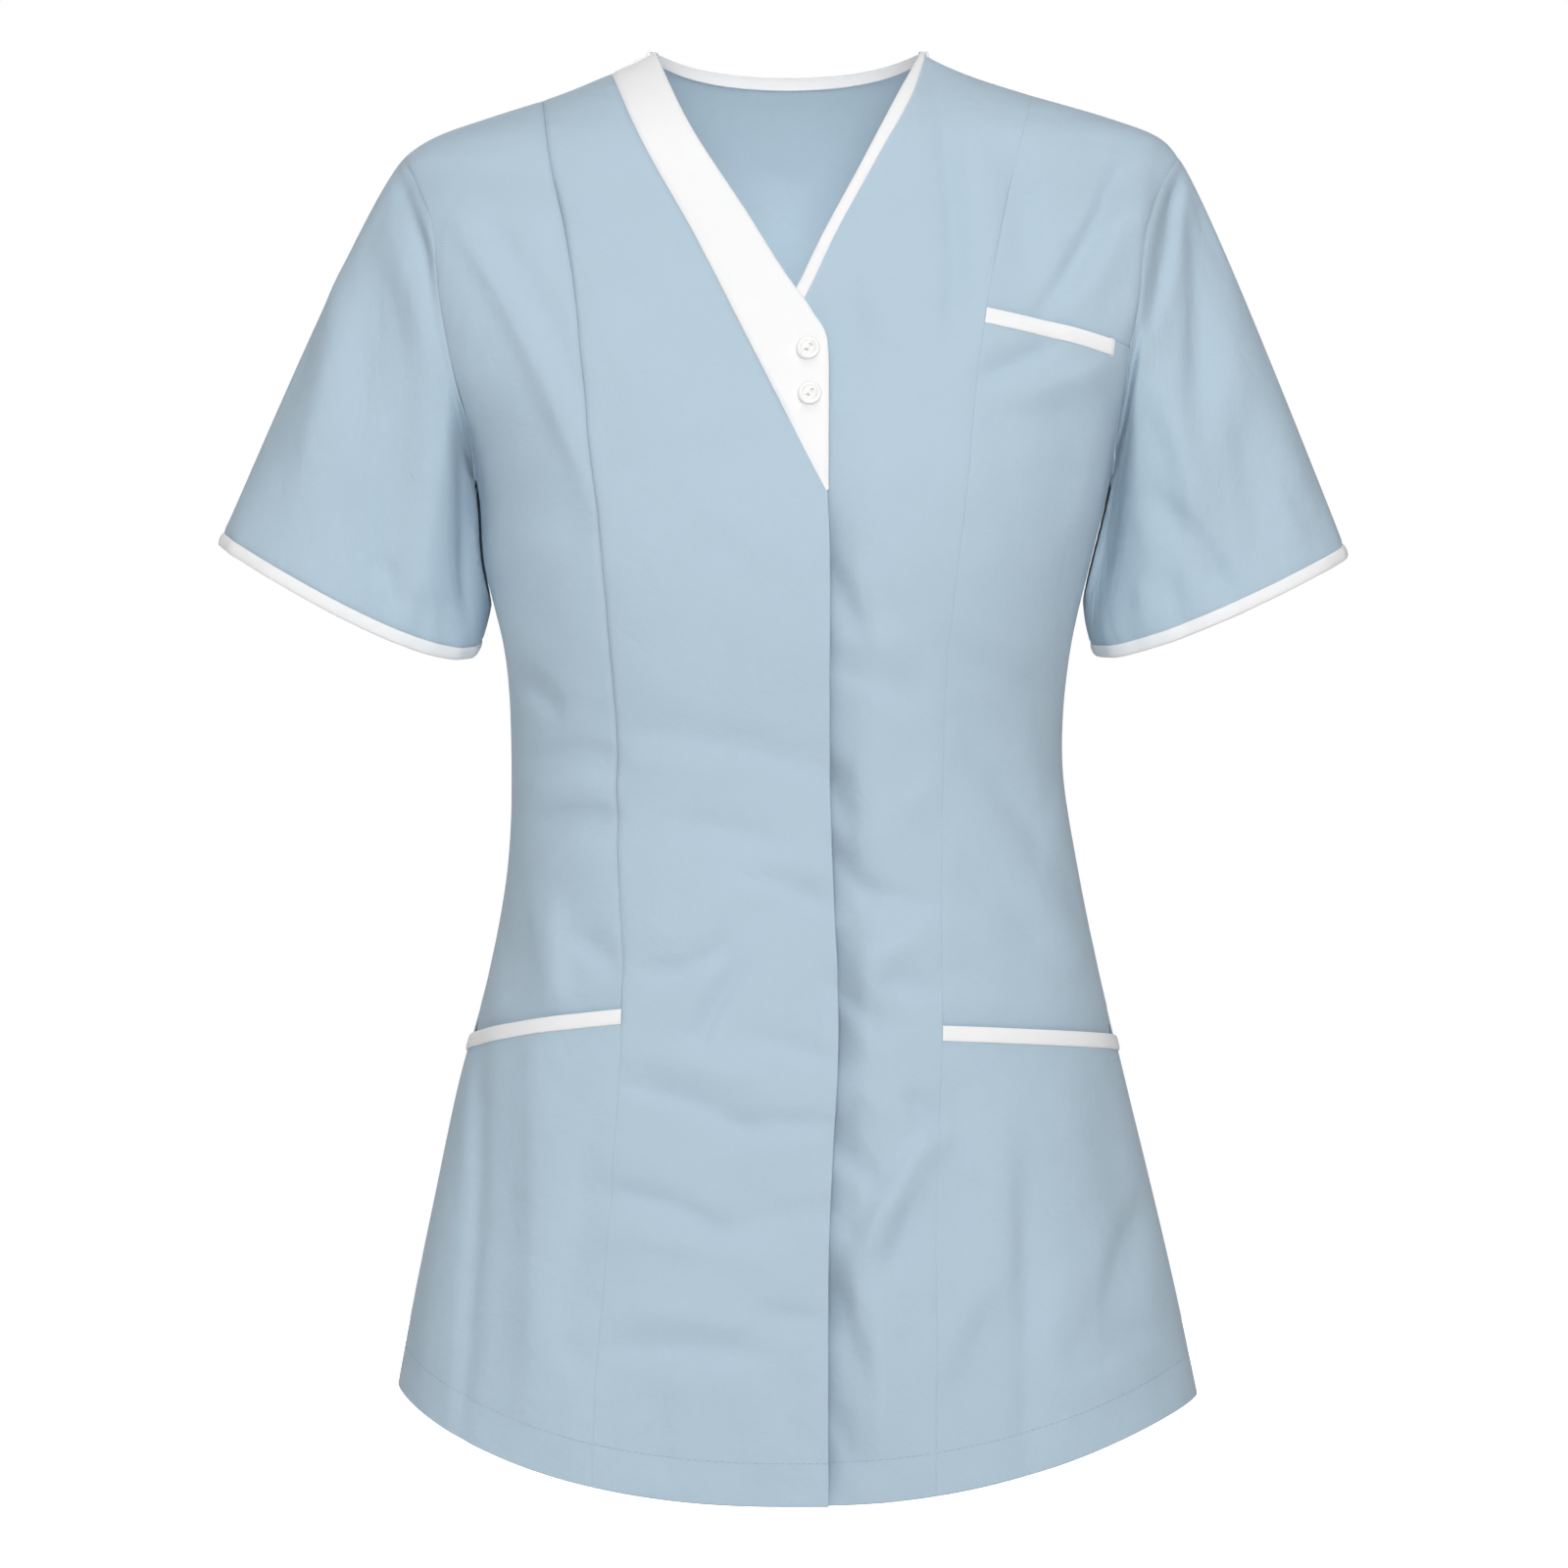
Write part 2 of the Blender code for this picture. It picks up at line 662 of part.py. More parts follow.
def outward_forward_up(sign, vector):
    out, forward, up = vector
    return np.array([sign * out, -forward, up])


def sleeve_grid(row):
    """Rings from the armhole to the cuff, and the direction in which the cuff points."""
    sign = SLEEVES["sign"][row]
    start = armhole_ring(sign)
    count = len(start)
    turn = 2 * math.pi * np.arange(count) / count
    outer = np.array([sign * SLEEVES["outer_x"][row], 0, SLEEVES["outer_height"][row]])
    inner = np.array([sign * SLEEVES["inner_x"][row], 0, SLEEVES["inner_height"][row]])
    reach = (outer - inner) / 2
    along = np.array([sign * reach[2], 0, -abs(reach[0])])
    along /= np.linalg.norm(along)
    cosine = np.cos(turn)[:, None]
    sine = np.sin(turn)[:, None]
    deep = np.where(sine > 0, CUFF_FRONT, CUFF_BACK)
    end = (outer + inner) / 2 + reach * cosine
    end[:, 1:2] += CUFF_CENTRE_Y - deep * sine
    end += along * SLEEVES["front_drop"][row] * sine * (1 - SLEEVES["skew"][row] * cosine)
    top = ((1 + cosine) / 2) ** 2
    under = ((1 - cosine) / 2) ** 2
    middle = 1 - top - under
    leave = top * outward_forward_up(sign, (SLEEVES["top_out"][row], 0, -SLEEVE_TOP_DOWN))
    leave = leave + under * outward_forward_up(sign, SLEEVE_UNDER_LEAVES)
    leave = leave + middle * outward_forward_up(sign, SLEEVE_MIDDLE_LEAVES) * [1, 0, 1]
    leave[:, 1:2] -= middle * sine * SLEEVE_MIDDLE_LEAVES[1]
    arrive = along * np.linalg.norm(end - start, axis=1, keepdims=True)
    arrive = arrive - under * [sign * SLEEVE_UNDER_TURNS_IN, 0, 0]
    share = np.linspace(0, 1, SLEEVE_RINGS + 1)[:, None, None]
    left = 1 - share
    rings = start * (1 + 2 * share) * left ** 2 + leave * share * left ** 2
    rings = rings + end * share ** 2 * (3 - 2 * share) - arrive * share ** 2 * left
    return clear_of_body(rings, sign), along


def clear_of_body(rings, sign):
    """Moves sleeve points out sideways until they are clear of the body's side."""
    height = rings[..., 2]
    y = rings[..., 1]
    roundness = smooth(FORM, "roundness", height)
    share = np.clip(np.abs(y) / depth(y, height), 0, 1)
    side = half_width(np.full(height.shape, sign), height) * (1 - share ** roundness) ** (1 / roundness)
    below = height < ARMHOLE_MIDDLE - ARMHOLE_HALF_HEIGHT + 1
    least = np.where(below, side + SLEEVE_CLEARANCE, 0)
    rings = rings.copy()
    rings[..., 0] = sign * np.maximum(sign * rings[..., 0], least)
    return rings


def ring_normals(rings):
    """Outward unit normals of a tube of rings."""
    round_step = np.roll(rings, -1, axis=1) - np.roll(rings, 1, axis=1)
    along_step = np.gradient(rings, axis=0)
    normals = np.cross(round_step, along_step)
    normals /= np.linalg.norm(normals, axis=-1, keepdims=True)
    outward = rings - rings.mean(axis=1, keepdims=True)
    return normals * np.sign((normals * outward).sum())


def make_sleeves():
    for row, side in enumerate(("right", "left")):
        rings, along = sleeve_grid(row)
        normals = ring_normals(rings)
        body = form_normals(rings[0])
        leave = rings[1] - rings[0]
        leave /= np.linalg.norm(leave, axis=-1, keepdims=True)
        folded_over = np.clip(-(normals[0] * body).sum(axis=-1, keepdims=True), 0, 1)
        shifted = rings.copy()
        shifted[0] += leave * SEAM_GAP + body * folded_over * SLEEVE_SEAM_STEP
        wall_object(side + "_sleeve", shifted, shifted - normals * WALL, BLUE_CLOTH, closed=True)
        ends = rings[-1] + along * SEAM_GAP, rings[-1] + along * CUFF_BINDING_WIDTH
        hem = np.stack(ends) + normals[-1] * LAYER_GAP
        inner = hem - normals[-1] * BINDING_WALL
        wall_object(side + "_cuff_binding", hem, inner, WHITE_TRIM, closed=True)


def button_frame(x, height):
    """The place of a button, and its right, up and outward directions."""
    centre = at_front(x, height)
    outward = form_normals(centre)
    right = np.cross([0, 0, 1], outward)
    right /= np.linalg.norm(right)
    return centre, right, np.cross(outward, right), outward


def turned_solid(rings, steps, frame):
    """A solid turned from rings (radius, height), closed by a flat cap at each end."""
    centre, right, up, outward = frame
    mesh_form = bmesh.new()
    turns = [2 * math.pi * k / steps for k in range(steps)]

    def vertex(radius, turn, height):
        place = centre + (right * math.cos(turn) + up * math.sin(turn)) * radius + outward * height
        return mesh_form.verts.new(place * MM)

    loops = [[vertex(radius, turn, height) for turn in turns] for radius, height in rings]
    for low, high in zip(loops, loops[1:]):
        for k in range(steps):
            mesh_form.faces.new((low[k], low[k - 1], high[k - 1], high[k]))
    for loop, (_, height) in ((loops[0], rings[0]), (loops[-1], rings[-1])):
        middle = vertex(0, 0, height)
        for k in range(steps):
            mesh_form.faces.new((loop[k], loop[k - 1], middle))
    bmesh.ops.recalc_face_normals(mesh_form, faces=mesh_form.faces)
    return mesh_form


def make_buttons():
    outline = list(zip(BUTTON_OUTLINE["radius"], BUTTON_OUTLINE["height"]))
    drill_outline = [(BUTTON_HOLE_RADIUS, height) for height in DRILL_ENDS]
    for name, place in zip(("button_upper", "button_lower"), BUTTON_PLACES):
        centre, right, up, outward = button_frame(*place)
        foot = centre + outward * LAYER_GAP
        turned = turned_solid(outline, BUTTON_STEPS, (foot, right, up, outward))
        button = finished(name, turned, BUTTON_WHITE, BUTTON_ROUGHNESS)
        slant = right * math.cos(BUTTON_HOLE_SLANT) + up * math.sin(BUTTON_HOLE_SLANT)
        for end in (-1, 1):
            middle = foot + slant * end * BUTTON_HOLE_SPACING / 2
            drill = turned_solid(drill_outline, BUTTON_HOLE_STEPS, (middle, right, up, outward))
            cutter = finished(f"{name}_hole_cutter_{end}", drill, BUTTON_WHITE, BUTTON_ROUGHNESS)
            cutter.hide_render = True
            cutter.display_type = "WIRE"
            cut = button.modifiers.new("hole", "BOOLEAN")
            cut.operation = "DIFFERENCE"
            cut.object = cutter


def main():
    for old in list(bpy.data.objects):
        bpy.data.objects.remove(old)
    make_fronts()
    make_sides()
    make_back()
    make_neck()
    make_sleeves()
    make_buttons()


main()
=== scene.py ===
"""Short-sleeved scrub top in light blue twill with white bindings, filled out as worn.

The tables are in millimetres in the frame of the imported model: +Z up, the front faces -Y, and the
wearer's right side is at -X. Every piece of cloth is a thin shell over its own patch of one form.
Creases, sewn edges and overlaps move the shell in or out along the form's normals.
"""

import math

import bpy
import numpy as np
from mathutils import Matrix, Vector


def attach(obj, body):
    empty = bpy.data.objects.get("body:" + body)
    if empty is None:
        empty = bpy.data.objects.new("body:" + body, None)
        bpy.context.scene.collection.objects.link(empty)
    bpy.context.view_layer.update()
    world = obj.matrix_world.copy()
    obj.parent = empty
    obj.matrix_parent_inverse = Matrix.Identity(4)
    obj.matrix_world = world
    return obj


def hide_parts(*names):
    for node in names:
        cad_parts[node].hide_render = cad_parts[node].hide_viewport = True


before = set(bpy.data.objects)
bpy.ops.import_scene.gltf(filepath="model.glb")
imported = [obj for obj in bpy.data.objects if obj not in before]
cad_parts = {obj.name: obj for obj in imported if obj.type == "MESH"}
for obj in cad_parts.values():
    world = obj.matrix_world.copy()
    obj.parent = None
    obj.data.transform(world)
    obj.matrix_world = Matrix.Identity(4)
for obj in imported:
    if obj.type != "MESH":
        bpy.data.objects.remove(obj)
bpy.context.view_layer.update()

MM = 0.001
BODY = "root"
SIDES = (("right", -1), ("left", 1))

# Walls of the shells, and how the layers lie on each other
CLOTH_WALL = 0.7
HEM_WALL = 1.3
TRIM_WALL = 0.9
BINDING_WALL = 1.5
SEWN_GAP = 0.15
RIM_ROUNDING = 0.25
OVERLAP_STEP = 3.2
POCKET_STEP = 1.7
TRIM_LIFT = 1.25
BAG_STEP = 1.1
LAYER_GAP = 0.3

# Cells of the shells, the places of their first rows beside an edge, and how finely the rows of the
# tables, lines on the form and the hem are worked out
CELL = 2.4
BACK_CELL = 3.2
TRIM_CELL = 1.1
BINDING_CELL = 1.4
FINE_CELL = 0.7
EDGE_STEPS = (0.0, 0.5, 1.2)
EDGE_ZONE = 2.2
DENSE_ROWS = 40
DENSE_SHOULDER_ROWS = 120
LINE_STEPS = 600
HEM_ROUNDS = 4

# Sewn edges: how far the cloth dips into a seam, and the ripples that sewing leaves beside it
SEAM_DIP = 0.62
SEAM_ROUND = 1.35
PUCKER_HEIGHT = 0.22
PUCKER_REACH = 6.0
PUCKER_SPACING = 11.0
PUCKER_SEED = 5

# Seams that lie smoother, as shares: the right armhole wholly and the left one by ARMHOLE_CALM, all
# seams low down, the left princess seam, and a little the seams farther out on the left. SEAM_FADE is
# how much farther off a smooth seam counts for its painted shade.
ARMHOLE_CALM = 0.65
ARMHOLE_CALM_X = (132.0, 142.0)
ARMHOLE_CALM_HEIGHT = (-215.0, -190.0)
LOW_SEAM_CALM = 0.88
LOW_SEAM_HEIGHT = (350.0, 540.0)
LEFT_SEAM_CALM = 0.8
LEFT_SLEEVE_CALM = 0.3
LEFT_SEAM_X = (119.0, 130.0)
SEAM_FADE = 4.0

# Hem: width of the turned-up cloth, and the row of stitches that holds it
HEM_WIDTH = 20.0
HEM_STEP = 1.0
HEM_GROOVE = 0.16
HEM_GROOVE_ROUND = 1.4


def table(columns, *rows):
    """A dictionary of arrays, one for each named column."""
    return dict(zip(columns.split(), np.array(rows, float).T))


# The worn form: half widths of the wearer's right and left, depths in front and behind
FORM = table(
    "height  right   left  front  back  roundness",
    (+8,     58.0,  58.0,    14,   38,  2.00),
    (0,      66.5,  66.5,    20,   46,  2.00),
    (-10,    88.0,  88.0,    30,   56,  2.00),
    (-20,   112.8, 119.2,    39,   63,  2.05),
    (-30,   143.6, 153.4,    46,   69,  2.10),
    (-38,   166.6, 175.6,    51,   74,  2.15),
    (-48,   183.0, 187.0,    56,   79,  2.20),
    (-62,   188.0, 190.0,    62,   84,  2.30),
    (-85,   187.0, 187.0,    73,   91,  2.35),
    (-115,  182.0, 182.0,    86,   97,  2.40),
    (-150,  170.0, 172.0,    98,  101,  2.40),
    (-185,  155.0, 160.0,   108,  102,  2.40),
    (-210,  149.0, 154.0,   113,  101,  2.40),
    (-245,  146.0, 145.2,   116,   97,  2.40),
    (-285,  136.6, 136.0,   112,   90,  2.40),
    (-343,  133.0, 132.2,   102,   82,  2.35),
    (-390,  134.8, 139.2,   101,   86,  2.35),
    (-440,  143.6, 149.4,   104,   94,  2.30),
    (-497,  159.0, 163.2,   108,  104,  2.25),
    (-545,  169.2, 175.0,   111,  110,  2.20),
    (-592,  178.8, 186.0,   114,  114,  2.20),
    (-640,  187.8, 196.2,   116,  117,  2.20),
    (-700,  198.0, 208.0,   118,  119,  2.20),
)

# Seams of the front: x at each height, from the shoulder down
PRINCESS_RIGHT = table(
    "height      x",
    (-21.0, -118.0),
    (-57.0, -112.8),
    (-86.0, -106.4),
    (-115.0, -101.4),
    (-152.0, -97.4),
    (-199.0, -92.7),
    (-227.0, -89.3),
    (-277.0, -84.8),
    (-323.0, -81.7),
    (-378.0, -80.4),
    (-464.0, -78.4),
    (-516.0, -81.5),
    (-576.0, -86.0),
    (-617.0, -89.8),
    (-690.0, -92.5),
)
PRINCESS_LEFT = table(
    "height     x",
    (-19.0, 117.5),
    (-48.0, 110.0),
    (-86.0, 101.2),
    (-129.0, 93.0),
    (-157.0, 89.5),
    (-190.0, 86.5),
    (-222.0, 83.2),
    (-259.0, 78.6),
    (-295.0, 75.0),
    (-351.0, 72.9),
    (-397.0, 72.4),
    (-466.0, 72.6),
    (-502.0, 71.6),
    (-557.0, 69.6),
    (-617.0, 69.3),
    (-690.0, 69.2),
)
OVERLAP_EDGE = table(
    "height    x",
    (-213.0, 18.4),
    (-240.0, 19.4),
    (-305.0, 19.4),
    (-364.0, 19.9),
    (-410.0, 21.6),
    (-443.0, 23.2),
    (-484.0, 23.2),
    (-516.0, 21.4),
    (-557.0, 19.4),
    (-626.0, 18.7),
    (-690.0, 18.7),
)
UNDERLAP_X = -8.0

# Neckline: seam and free edge of the wearer's right band and of the left binding, top to bottom
BAND_SEAM = (
    (-85.0, -8.7),
    (-71.4, -40.6),
    (-45.0, -89.0),
    (-21.2, -136.3),
    (2.2, -183.0),
    (17.6, -213.0),
)
BAND_EDGE = (
    (-64.4, 2.0),
    (-48.5, -33.5),
    (-20.4, -78.5),
    (3.2, -116.0),
    (7.3, -121.5),
    (12.3, -129.3),
    (16.6, -136.0),
    (18.2, -140.4),
    (18.8, -146.0),
    (19.0, -153.0),
    (19.0, -167.0),
    (18.9, -184.0),
    (18.8, -199.0),
    (18.8, -213.0),
)
BINDING_SEAM = (
    (66.5, 0.0),
    (60.4, -18.2),
    (42.3, -52.9),
    (17.1, -100.9),
    (7.3, -121.3),
    (-7.0, -152.0),
)
BINDING_EDGE = (
    (64.4, 2.0),
    (53.8, -18.4),
    (36.2, -53.0),
    (11.0, -100.9),
    (1.0, -121.3),
    (-13.0, -151.0),
)

# Back of the neck: height of the seam at the shoulder, its drop to the centre, and the binding's width
# at the shoulder and the centre and how far it laps over the back
BACK_NECK_SIDE = -0.5
BACK_NECK_DROP = 10.0
BACK_NECK_POWER = 2.5
BACK_BINDING_AT_SHOULDER = 2.5
BACK_BINDING_OVERLAP = 1.5
BACK_BINDING_AT_CENTRE = 4.2
NECK_HALF_WIDTH = 66.0

# Hem: height at the side seam, and how far it drops from there to the centre front and back
HEM = table(
    "sign    side  front_drop  front_power  back_drop  back_power",
    (-1,   -638.5,      50.0,         1.7,      46.5,        1.8),
    (+1,   -643.5,      45.0,         2.2,      42.0,        1.8),
)
HEM_MIDDLE = -688.0
BACK_UNDERARM_CENTRE = -228.0

# Where the left front drops behind the right one: x across which it fades out, height likewise
TUCK_X = (27.0, 46.0)
TUCK_HEIGHT = (-112.0, -84.0)

# Armhole, an oval seen from the side
ARMHOLE_MIDDLE = -128.0
ARMHOLE_HALF_HEIGHT = 79.0
ARMHOLE_FRONT = 44.0
ARMHOLE_BACK = 46.0

# Rows of the cloth from hem to shoulder: height on the princess seams, height on the side seam up
# to the underarm, and from there the angle round the armhole
ROWS = table(
    "right_princess left_princess  side  armhole",
    (-690,   -690,   -638,  180),
    (-612,   -612,   -592,  180),
    (-550,   -550,   -548,  180),
    (-503,   -506,   -512,  180),
    (-463.6, -471.4, -479,  180),
    (-456.7, -464.4, -472,  180),
    (-412,   -412,   -420,  180),
    (-362,   -362,   -368,  180),
    (-312,   -312,   -315,  180),
    (-265,   -265,   -262,  180),
    (-222,   -222,   -207,  180),
    (-190,   -190,   -207,  155),
    (-163,   -160,   -207,  130),
    (-140,   -133.5, -207,  107),
    (-126,   -126.5, -207,  101.5),
    (-104,   -106,   -207,   84),
    (-82,    -86,    -207,   67),
    (-62,    -66,    -207,   50),
    (-44,    -47,    -207,   33),
    (-30,    -30,    -207,   16.5),
    (-21,    -19.0,  -207,    0),
)
ROW_COUNT = len(ROWS["side"])
POCKET_TRIM_ROW = 4
POCKET_MOUTH_ROW = 5
UNDERARM_ROW = 10
CHEST_BAG_ROW = 11
CHEST_TRIM_ROW = 13
CHEST_MOUTH_ROW = 14
RIGHT_V_ROW = 10
LEFT_V_ROW = 12
BACK_NECK_SHARE = 5 / 11

# Sleeves: outer and inner ends of the cuff, seen from the front
SLEEVES = table(
    "sign  outer_x  outer_height  inner_x  inner_height  front_drop  skew  top_out",
    (-1,   271.5,   -229.5,       148.0,   -283.0,       9.0,        0.5,  46),
    (+1,   267.5,   -235.0,       146.0,   -283.0,       7.0,        0.4,  34),
)
# How the sleeve leaves the armhole: outward, forward and up
SLEEVE_TOP_DOWN = 40.0
SLEEVE_UNDER_LEAVES = (-34.0, -14.0, -75.0)
SLEEVE_MIDDLE_LEAVES = (56.0, 22.0, -60.0)
SLEEVE_UNDER_TURNS_IN = 4.0
CUFF_FRONT = 44.0
CUFF_BACK = 42.0
CUFF_CENTRE_Y = 2.0
CUFF_BINDING_WIDTH = 6.0

# Distance over which the slope of the form is taken
SLOPE_STEP = 0.5

# Lengths from which the cells are counted, and how the rows of a sleeve meet those of its cuff
CENTRE_WIDTH = 105.0
SIDE_WIDTH = 120.0
BACK_WIDTH = 245.0
BACK_LENGTH = 700.0
SLEEVE_LENGTH = 150.0
SLEEVE_STEPS = 136
SLEEVE_TURNS = table(
    "cuff  armhole",
    (0,      0),
    (54,    50),
    (90,    84),
    (126,  115),
    (153,  144),
    (180,  180),
)
SLEEVE_CLEARANCE = 1.3

# Sleeve seam: how far the sleeve stands over the edge of the armhole where it is folded over it, is
# tucked in behind it, and lies below it elsewhere
SLEEVE_SEAM_STEP = 0.3
SLEEVE_TUCKED_IN = 0.8
SLEEVE_UNDER = 0.05

# The valley in a sleeve beside the low part of its armhole: depth, start, middle and reach from the
# seam, and the heights between which it begins and ends, each for the wearer's right and left
VALLEY_DEPTH = 7.0
VALLEY_START = 3.0
VALLEY_MIDDLE = 8.0
VALLEY_REACH = 6.0
VALLEY_LOW = ((-206.0, -198.0), (-196.0, -188.0))
VALLEY_TOP = ((-196.0, -176.0), (-150.0, -118.0))
VALLEY_FACING = (0.3, 0.8)

# The underside of a sleeve is pressed flatter from front to back: by which share, and the turns from
# the top and the distances from the cuff over which that begins
SLEEVE_PINCH = 0.65
PINCH_TURN = (2.0, 2.8)
PINCH_CUFF = (2.0, 60.0)

# How the folds are drawn: soft ends and lean as shares, and the scale of all heights. They fade out
# where the cloth turns to the side (FOLD_FADE and SLEEVE_FACING), beside the armhole's oval
# (ARMHOLE_FADE) and at a sleeve's seam (SLEEVE_FADE). Crumples are seeded noise.
FOLD_SOFT_END = 0.28
FOLD_LEAN = 0.25
FOLD_FADE = (0.05, 0.4)
ARMHOLE_FADE = (1.0, 1.3)
SLEEVE_FADE = (0.5, 13.0)
SLEEVE_FACING = (0.05, 0.45)
FOLD_SCALE = 2.0
FOLD_NARROW = 0.85
CRUMPLE_HEIGHT = 0.8
CRUMPLE_SPACING = 46.0
FINE_CRUMPLE_HEIGHT = 0.35
FINE_CRUMPLE_SPACING = 17.0
FRONT_SEEDS = (11, 23)
BACK_SEEDS = (37, 41)
SLEEVE_SEED = 60
NOISE_GRID = 64

# A distance farther off than any seam, and the height from which a piece's weave runs on past seams
FAR = 1000.0
TALL_PIECE = 100.0

# The cloth bridges the crook between body and sleeve: height, reach, and where it does (the
# heights between which it starts, each for the wearer's right and left, and those where it ends)
BRIDGE_HEIGHT = 9.0
BRIDGE_REACH = 24.0
BRIDGE_FROM_X = (85.0, 125.0)
BRIDGE_LOW = ((-192.0, -172.0), (-158.0, -138.0))
BRIDGE_TOP = (-84.0, -54.0)
BRIDGE_FACING = (0.25, 0.85)

# Pockets, bands and bindings: how far a mouth or a strip stands proud, and over which distances; a
# crown is how much fuller a pressed strip is in its middle than at its edges
CHEST_TRIM_SHARE = 0.795
CHEST_MOUTH_OPEN = 0.5
CHEST_MOUTH_REACH = 22.0
CHEST_BAG_ROWS = (CHEST_MOUTH_ROW - 0.1, CHEST_MOUTH_ROW + 0.45)
HIP_MOUTH_OPEN = 0.8
HIP_MOUTH_REACH = 40.0
HIP_BAG_ROWS = (POCKET_MOUTH_ROW, POCKET_MOUTH_ROW + 0.3)
TRIM_CROWN = 0.45
TRIM_CROWN_POWER = 4
BAND_PROUD = 0.25
BAND_PROUD_FROM = 2.5
BAND_ROUND = 0.6
BAND_ROUND_REACH = 0.9
BAND_SIZE = (34.0, 250.0)
BINDING_SIZE = (6.5, 170.0)
BACK_BINDING_STEPS = 180
BINDING_CROWN = 0.7
BINDING_CROWN_POWER = 2.5
CUFF_PROUD = 0.55
CUFF_CROWN = 0.6
CUFF_CROWN_POWER = 3
CUFF_CALM = 0.45
CUFF_REACH = 16.0
CUFF_PUCKER = 0.7
CUFF_PUCKER_TURN = 9.0
CUFF_PUCKER_STRETCH = 0.2
CUFF_PUCKER_REACH = 7.0
CUFF_PUCKER_SEED = 70

# Stitches: pitch, length and radius, and the section along one stitch
HEM_STITCH = (3.2, 2.7, 0.17)
STITCH_SIDES = 6
STITCH_SECTION = table(
    "along  thickness  rise",
    (-1.0,      0.35,  -1.0),
    (-0.75,     0.85,  -0.1),
    (-0.3,      1.00,   0.3),
    (0.3,       1.00,   0.3),
    (0.75,      0.85,  -0.1),
    (1.0,       0.35,  -1.0),
)

# Bar tack at the outer end of the chest pocket's trim
TACK_INSETS = (0.35, 0.75, 1.15, 1.55, 1.95)
TACK_OVERHANG = 0.12
TACK_POINTS = 11
TACK_RISE = 0.42
TACK_DROP = 0.5
TACK_DROP_POWER = 6
TACK_RADIUS = 0.22

# Buttons
BUTTON_PLACES = {"button_upper": (9.5, -146.1), "button_lower": (10.2, -167.6)}
BUTTON_RADIUS = 5.45
BUTTON_RINGS = 56
BUTTON_TURNS = 120
BUTTON_CENTRE_SHARE = 0.004
BUTTON_SHARP = math.radians(50)
BUTTON_FACE = table(
    "radius height",
    (0.00,  1.62),
    (2.30,  1.66),
    (2.75,  1.72),
    (3.10,  1.86),
    (3.50,  2.14),
    (3.85,  2.36),
    (4.20,  2.47),
    (4.55,  2.50),
    (4.90,  2.44),
    (5.20,  2.26),
    (5.45,  1.95),
)
BUTTON_SIDE = table(
    "radius height",
    (5.57,  1.65),
    (5.60,  1.25),
    (5.52,  0.80),
    (5.30,  0.38),
    (4.90,  0.08),
    (4.40,  0.00),
)
BUTTON_HOLE_EDGE = (0.65, 0.9)
BUTTON_HOLE_SPACING = 3.1
BUTTON_HOLE_SLANT = math.radians(50)
BUTTON_HOLE_DEPTH = 1.55
BUTTON_THREAD_TOP = 1.8
BUTTON_THREAD_DROP = 1.2
BUTTON_THREAD_DROP_POWER = 6
BUTTON_THREAD_POINTS = 15
BUTTON_THREAD_SPREAD = 0.24
BUTTON_THREAD_REACH = 1.15
BUTTON_THREAD_RADIUS = 0.16

# Cloth, thread and resin close up: how far the ribs of the weave wander, how much the crossing threads
# add to them, and for each mark its part in the shade or roughness, and the least of that
WEAVE_WANDER = 9.0
WEAVE_CROSSING = 0.25
WEAVE_SHADE = (0.05, 0.97)
RIPPLE_REACH = 4.0
TWIST_RELIEF = 0.03
TWIST_SHADE = (0.08, 0.93)
RESIN_ROUGHNESS = (0.16, 0.2)

# Colours as seen, with white at 1
BLUE_TWILL = (0.705, 0.785, 0.840)
BLUE_THREAD = (0.66, 0.74, 0.80)
WHITE_TWILL = (0.955, 0.955, 0.957)
RESIN = (0.955, 0.955, 0.950)

# Studio, in metres: floor, lights (place, width, watts) and camera
FLOOR_RADIUS = 3.0
FLOOR_HEIGHT = -0.80
FLOOR_COLOUR = (0.88, 0.88, 0.88)
FLOOR_GLOW = 1.0
FLOOR_TURNS = 96
FILL_STRENGTH = 0.18
MIDDLE = (0.0, 0.0, -0.35)
BACK_NECK = (0.0, 0.07, -0.04)
LIGHTS = (
    ("key", (0.75, -3.05, 1.0), MIDDLE, 0.8, 38.0),
    ("front", (-0.1, -2.5, 0.0), MIDDLE, 0.6, 13.5),
    ("top", (0.0, -0.8, 1.8), MIDDLE, 1.4, 14.0),
    ("right_side", (-2.9, -0.5, -0.3), MIDDLE, 1.6, 13.0),
    ("left_side", (2.9, -0.3, 0.0), MIDDLE, 1.6, 3.0),
    ("back", (-0.7, 3.2, 0.8), MIDDLE, 1.6, 34.0),
    ("inside", (0.0, 0.0, -0.17), BACK_NECK, 0.06, 0.085),
)
SENSOR = 36.0
CLIP_END = 50.0
CAMERA_DISTANCE = 4.0
VIEW_CENTRE = (-0.0019, -0.3507)
VIEW_HALF_WIDTH = 0.3776

